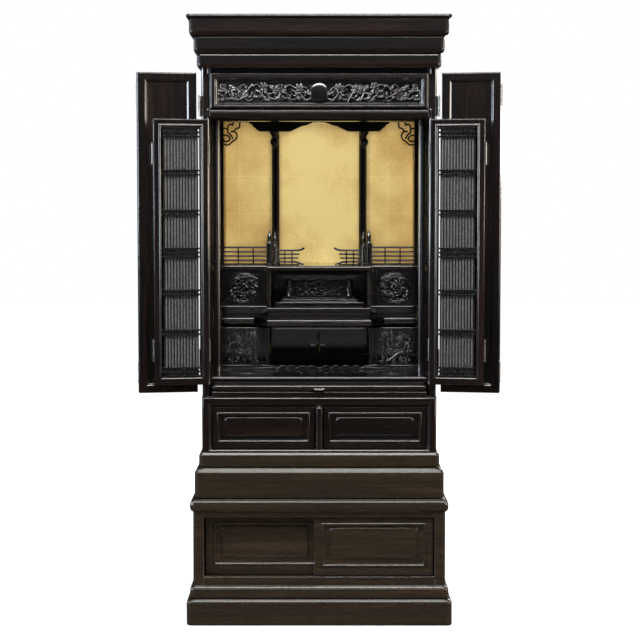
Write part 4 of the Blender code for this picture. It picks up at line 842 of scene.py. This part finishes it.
NEWEL = (
    (1, 0, 53), (1, 1.2, 54.5), (1, 1.2, 58.5), (0.62, 0, 61.5), (0.50, 0, 64.5), (0.78, 0, 66.5),
    (0.80, 0, 68.5), (0.45, 0, 70), (0.70, 0, 73.5), (0.78, 0, 78.5), (0.62, 0, 84), (0.34, 0, 88),
    (0.30, 0, 89.5), (0.36, 0, 92), (0.24, 0, 94.8), (0, 0.5, 96.2),
)
WALL, CEILING = -0.2874, 1.345
SCROLL = (
    ((64.8, 0), (63.2, -9), (64, -13), (61, -16), (54.6, -17), (50, -22), (47.5, -25.7)),
    (
        (39, -26.5), (47.5, -25.7), (53, -29.7), (56.2, -36), (54.6, -44), (50, -50), (43.6, -53.4), (39, -58),
        (33.4, -62.8), (26.3, -63.6), (20, -61.3), (1, -58),
    ),
    (
        (1, -33), (12, -36), (20, -37), (26.3, -36), (32.6, -39), (36.5, -45.5), (32.6, -52), (24.8, -54.2),
        (20, -52.6), (18, -48),
    ),
    (
        (46.7, 0), (43.6, -8.3), (39.7, -5.2), (32.6, -7.5), (30.2, -17), (30.2, -25.7), (31, -29), (39, -36),
        (43.6, -44),
    ),
    ((1, -18), (14, -20), (24, -17), (30.2, -21)),
)
for name, mirror in (("left", False), ("right", True)):
    rails = bmesh.new()
    for y, lines in ((RAIL_Y, RAILS), (WING_Y, WING_RAILS)):
        for line, thick in lines:
            stem(rails, drawn(line, 0, tier), [radius / 1000 for radius in thick], y, 1.0)
    for x, y, wide, deep, foot, head, ease in (
        (-208.5, RAIL_Y, 78.5, 4.0, 0.3, 4.0, 0.8), (-92.0, WING_Y, 38.0, 4.5, 0.3, 3.6, 0.8),
        (-226.0, RAIL_Y, 1.7, 2.6, 3.0, 48.5, 0.6), (-184.0, RAIL_Y, 1.7, 2.6, 3.0, 48.5, 0.6),
        (-94.5, WING_Y, 1.6, 2.4, 3.0, 40.5, 0.6), (-75.0, WING_Y, 1.6, 2.4, 3.0, 40.5, 0.6),
    ):
        block(
            rails, ((x - wide) / 1000, (x + wide) / 1000), (y - deep / 1000, y + deep / 1000),
            (tier + foot / 1000, tier + head / 1000), ease / 1000,
        )
    link = Vector((0.0165, -0.0625, 0))
    for rise in (0.0440, 0.0320, 0.0210, 0.0110):
        middle = Matrix.Translation((-0.138 + link.x / 2, RAIL_Y + link.y / 2, tier + rise))
        bmesh.ops.create_cone(
            rails, cap_ends=True, segments=8, radius1=0.0019, radius2=0.0019, depth=link.length,
            matrix=middle @ link.to_track_quat("Z", "Y").to_matrix().to_4x4(),
        )
    piece(f"rails_{name}", rails, rail_black, "cabinet", 35, [f"railing_{name}"], mirror)
    newels = bmesh.new()
    for x, y, shaft, lift in ((-0.1385, RAIL_Y, 0.0088, 0.0), (-0.1215, WING_Y, 0.0056, -0.006)):
        profile = [(shaft + 0.0018, tier + 0.0003), (shaft + 0.0018, tier + 0.004), (shaft, tier + 0.006)]
        profile += [(share * shaft + more / 1000, tier + lift + high / 1000) for share, more, high in NEWEL]
        turned(newels, profile, (x, y, 0), 24)
    piece(f"newels_{name}", newels, newel_black, "cabinet", 35, mirror=mirror)

    scroll = bmesh.new()
    for path in SCROLL:
        stem(scroll, drawn(path, WALL, CEILING), [0.0023] * (len(path) - 1) + [0.0018], 0.0455, 1.7)
    for x, z in drawn(((43.6, -44), (18, -48)), WALL, CEILING):
        bud(scroll, x, z, 0.043, 0.0030)
    piece(f"scroll_{name}", scroll, rail_black, "cabinet", 45, [f"bracket_{name}"], mirror)

# Cusped valance: two fine beads planed along its lower edge, and two turned drops glued under it.
# They are of the same black wood as the newels, polished until it shines.
VALANCE_EDGE = (
    (-196, 1341), (-188, 1339), (-183, 1331), (-172, 1325), (-166, 1320), (-130, 1319), (-84, 1319),
    (-72, 1324), (-56, 1332), (-36, 1339), (-20, 1342),
)
DROP = (
    (12.8, 1319.5), (13.0, 1316.5), (11.2, 1312.0), (7.8, 1307.5), (5.8, 1303.0), (5.8, 1301.0), (8.5, 1298.5),
    (10.8, 1294.5), (11.6, 1289.5), (10.8, 1284.5), (8.0, 1280.5), (4.8, 1277.5), (3.0, 1274.0), (2.6, 1271.5),
    (0.6, 1270.0),
)
valance_edge = bmesh.new()
for side in (-1, 1):
    for y, radius, lift in ((0.0402, 0.0023, 0.0022), (0.0404, 0.0012, 0.0085)):
        stem(valance_edge, drawn(VALANCE_EDGE, 0, lift, side), [radius] * len(VALANCE_EDGE), y, 0.9)
    turned(valance_edge, drawn(DROP), (side * 0.1265, 0.0440, 0), 28)
piece("valance_edge", valance_edge, newel_black, "cabinet")

# Carved panels of the altar: a round field of winding leaves above, a tree and canes below, and
# a medallion between scrolls on the pedestal. Each is carved in the solid and polished.
ROUND_CURLS = (
    (-20, 14, 16, 200, -400), (12, 20, 15, 330, 380), (26, -4, 14, 60, -360), (-4, -10, 18, 120, 380),
    (-28, -12, 13, 30, 340), (10, -28, 12, 160, -360), (-14, 32, 9, 250, 300), (34, 18, 9, 100, -320),
    (-10, 4, 11, 20, 330),
)
BRANCHES = (
    (4.4, ((-30, -46), (-28, -26), (-20, -10), (-26, 6), (-14, 18), (-4, 24), (8, 34), (10, 46))),
    (3.2, ((-20, -10), (-4, -16), (8, -26), (20, -34), (30, -46))),
    (2.4, ((-26, 6), (-36, 16), (-38, 28))),
    (2.2, ((-14, 18), (-18, 32), (-10, 42))),
    (2.6, ((-4, -16), (2, -32), (-8, -46))),
)
CANE_LONG, CANE_GAP, CANE_FOOT = 15.5, 1.6, -46
MEDALLION_CURLS = (
    (38, 8, 11, 200, -380), (50, -8, 12, 20, -380), (34, -13, 8, 120, 340), (55, 12, 8, 250, 340),
    (10, 9, 8, 300, 330), (11, -8, 8, 60, -330),
)
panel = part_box("round_panel_left")[0][1]
for name, mirror in (("left", False), ("right", True)):
    work = bmesh.new()
    cx, cz = -0.211, 0.8826
    ring = oval(cx, cz, 0.0465, 0.0430, range(0, 361, 15))
    stem(work, ring, [0.0013] * len(ring), panel + 0.0045, 1.4)
    curl(work, ROUND_CURLS, cx, cz, panel + 0.0015, 0.0024, 0.00014, 0.0026, 0.0025, 1.2)
    bloom(work, cx - 0.008, cz + 0.010, panel + 0.002, 0.012, 10)
    bloom(work, cx + 0.018, cz - 0.016, panel + 0.002, 0.010, 50)
    twigs = random.Random(41)
    for k in range(46):
        way = twigs.uniform(0, 360)
        out = math.sqrt(twigs.uniform(0.02, 1))
        root = oval(cx, cz, 0.036 * out, 0.033 * out, (way,))[0]
        turn, long = twigs.uniform(0, 360), twigs.uniform(0.009, 0.015)
        back, bend = twigs.uniform(0, 0.003), twigs.uniform(-70, 70)
        blade(work, root, turn, long, 0.0062, panel + back, 0.003, bend, 2)
    piece(f"round_carving_{name}", work, carved_black, "cabinet", 60, mirror=mirror)

    work = bmesh.new()
    cx, cz = -0.2150, 0.7140
    for thick, path in BRANCHES:
        count = len(path)
        radii = [thick / 1000 * (1 - 0.5 * k / count) for k in range(count)]
        stem(work, drawn(path, cx, cz), radii, panel + 0.001, 1.1)
    for x, lean in ((10, 4), (24, 1), (36, -4)):
        for k in range(6):
            low = CANE_FOOT + CANE_LONG * k
            high = low + CANE_LONG - CANE_GAP
            path = drawn([(x + lean * t / 90, t) for t in (low, (low + high) / 2, high)], cx, cz)
            stem(work, path, [0.0024, 0.0019, 0.0024], panel + 0.002, 1.0)
    for k in range(64):
        root = drawn([(twigs.uniform(-40, 42), twigs.uniform(-44, 44))], cx, cz)[0]
        turn = twigs.choice((200, 230, 250, 290, 310, 340)) + twigs.uniform(-12, 12)
        long, back, bend = twigs.uniform(0.010, 0.017), twigs.uniform(-0.001, 0.003), twigs.uniform(-25, 25)
        blade(work, root, turn, long, 0.0042, panel + back, 0.0028, bend)
    for x, z, r in ((-12, 26, 8), (6, 6, 7), (-30, 30, 6)):
        bloom(work, cx + x / 1000, cz + z / 1000, panel - 0.001, r / 1000, 20)
    piece(f"garden_carving_{name}", work, carved_black, "cabinet", 60, mirror=mirror)

medallion = bmesh.new()
cz = 0.882
face = -0.0335
for side in (-1, 1):
    ring = oval(0, cz, 0.0255 * side, 0.0215, range(-90, 91, 12))
    stem(medallion, ring, [0.0018] * len(ring), face - 0.0035, 1.2)
    curl(medallion, MEDALLION_CURLS, 0, cz, face - 0.004, 0.0017, 0.0001, 0.0020, 0.002, 1.2, side)
    for k in range(26):
        root = (side * (0.004 + 0.056 * k / 25), cz + twigs.uniform(-0.018, 0.018))
        turn, long, bend = twigs.uniform(0, 360), twigs.uniform(0.007, 0.011), twigs.uniform(-60, 60)
        way = turn if side > 0 else 180 - turn
        blade(medallion, root, way, long, 0.0042, face - 0.004, 0.0022, side * bend, 2)
bloom(medallion, 0, cz + 0.002, face - 0.005, 0.010, 90)
PILASTER = (
    (7.5, 858.0), (9.0, 859.2), (9.0, 862.0), (8.0, 864.0),
    (8.0, 900.0), (9.0, 902.0), (9.0, 904.8), (7.5, 906.0),
)
for side in (-1, 1):
    turned(medallion, drawn(PILASTER), (side * 0.0830, face - 0.0020, 0), 24)
piece("pedestal_carving", medallion, carved_black, "cabinet", 60)

# Small things of the altar: twisted silver knobs of the little doors and the bead between them,
# and thin strips that cover the gold lining's edges. Knobs are screwed on, the rest is glued.
KNOB = ((0.0015, 0.0), (0.0015, 0.0025), (0.0032, 0.0040), (0.0034, 0.0062), (0.0018, 0.0080))
for name, side, middle in (("left", -1, -0.0178), ("right", 1, 0.0092)):
    door_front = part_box(f"altar_door_{name}")[0][1]
    knob = bmesh.new()
    for shift in (-0.0034, 0.0034):
        turned(knob, KNOB, (middle + shift, door_front, 0.7145), 20, "y")
    block(knob, (middle - 0.0058, middle + 0.0058), (door_front - 0.0012, door_front), (0.7123, 0.7167), 0.0004)
    silver = steel.copy()
    silver.name = "silver_" + name
    shades = silver.node_tree.nodes["Color Ramp"].color_ramp.elements
    shades[0].color = (0.45, 0.44, 0.42, 1)
    shades[1].color = (0.85, 0.84, 0.82, 1)
    piece(f"knob_{name}", knob, silver, f"altar_door_{name}", 35)
    if name == "left":
        astragal = bmesh.new()
        depth = (door_front - 0.0030, door_front - 0.0001)
        block(astragal, (-0.0072, -0.0026), depth, (0.6905, 0.7655), 0.0012)
        piece("altar_door_astragal", astragal, newel_black, "altar_door_left", 35)
    strip = bmesh.new()
    block(strip, (side * 0.2870, side * 0.2695), (0.0530, 0.0597), (0.9475, 1.4640), 0.0008)
    piece(f"lining_strip_{name}", strip, newel_black, "cabinet", 35)

# Pull of the sliding board: a small wavy bar of dark steel with three round bosses, pinned to
# the middle of the board's front edge.
board_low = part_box("slide_board")[0]
pull_y, pull_z = board_low[1], board_low[2] + 0.0035
WAVES = ((-14, 1, 1.1), (-10, 2.6, 1.6), (-5, 0, 1.4), (0, 2.4, 2.0), (5, 0, 1.4), (10, 2.6, 1.6), (14, 1, 1.1))
pull = bmesh.new()
path = drawn([(x, rise) for x, rise, thick in WAVES], 0, pull_z)
stem(pull, path, [thick / 1000 for x, rise, thick in WAVES], pull_y - 0.0008, 1.0)
for x, radius in ((-0.0095, 0.0017), (0, 0.0025), (0.0095, 0.0017)):
    bud(pull, x, pull_z - 0.0004, pull_y - 0.0012, radius)
piece("board_pull", pull, steel, "slide_board", 45)

# Beads of the cusped foot board: a round one that follows the cusps and a straight one under it,
# both planed in the board.
skirt_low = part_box("skirt")[0]
CUSPS, CUSP = 4, 27
edge = [(286, 10.0), (200, 10.8), (138, 10.2), (126, 8.0), (120, 3.6)]
for k in range(CUSPS):
    x = 112 - CUSP * k
    edge += [(x + 2, 3.6), (x - 5, 9.2), (x - 10.5, 10.0), (x - 16, 9.2), (x - 21.5, 4.0)]
foot = ((286, 3.5), (200, 3.0), (150, 4.0), (128, 6.2))
beads = bmesh.new()
for side in (-1, 1):
    for path, radius in ((edge, 0.0013), (foot, 0.0011)):
        stem(beads, drawn(path, 0, skirt_low[2], side), [radius] * len(path), skirt_low[1], 1.0)
piece("skirt_bead", beads, newel_black, "cabinet", 45)

# The three lamps that light one thing each get it here: the gilding, the front of the altar so
# that the doors and boards round it stay dark, and the carved reliefs.
for only, names in (
    ("gilt_only", ("gold_lining",)),
    ("carved_only", (
        "round_", "square_", "garden_", "pedestal", "altar_door", "altar_core", "frieze", "waist", "mid_shelf",
        "newels", "pillar", "skirt", "knob", "niche", "valance",
    )),
    ("relief_only", (
        "round_carving", "garden_carving", "pedestal_carving", "frieze_openwork", "newels", "knob",
        "skirt_bead",
    )),
):
    for made in bpy.data.objects:
        if made.type == "MESH" and made.name.startswith(names):
            bpy.data.collections[only].objects.link(made)
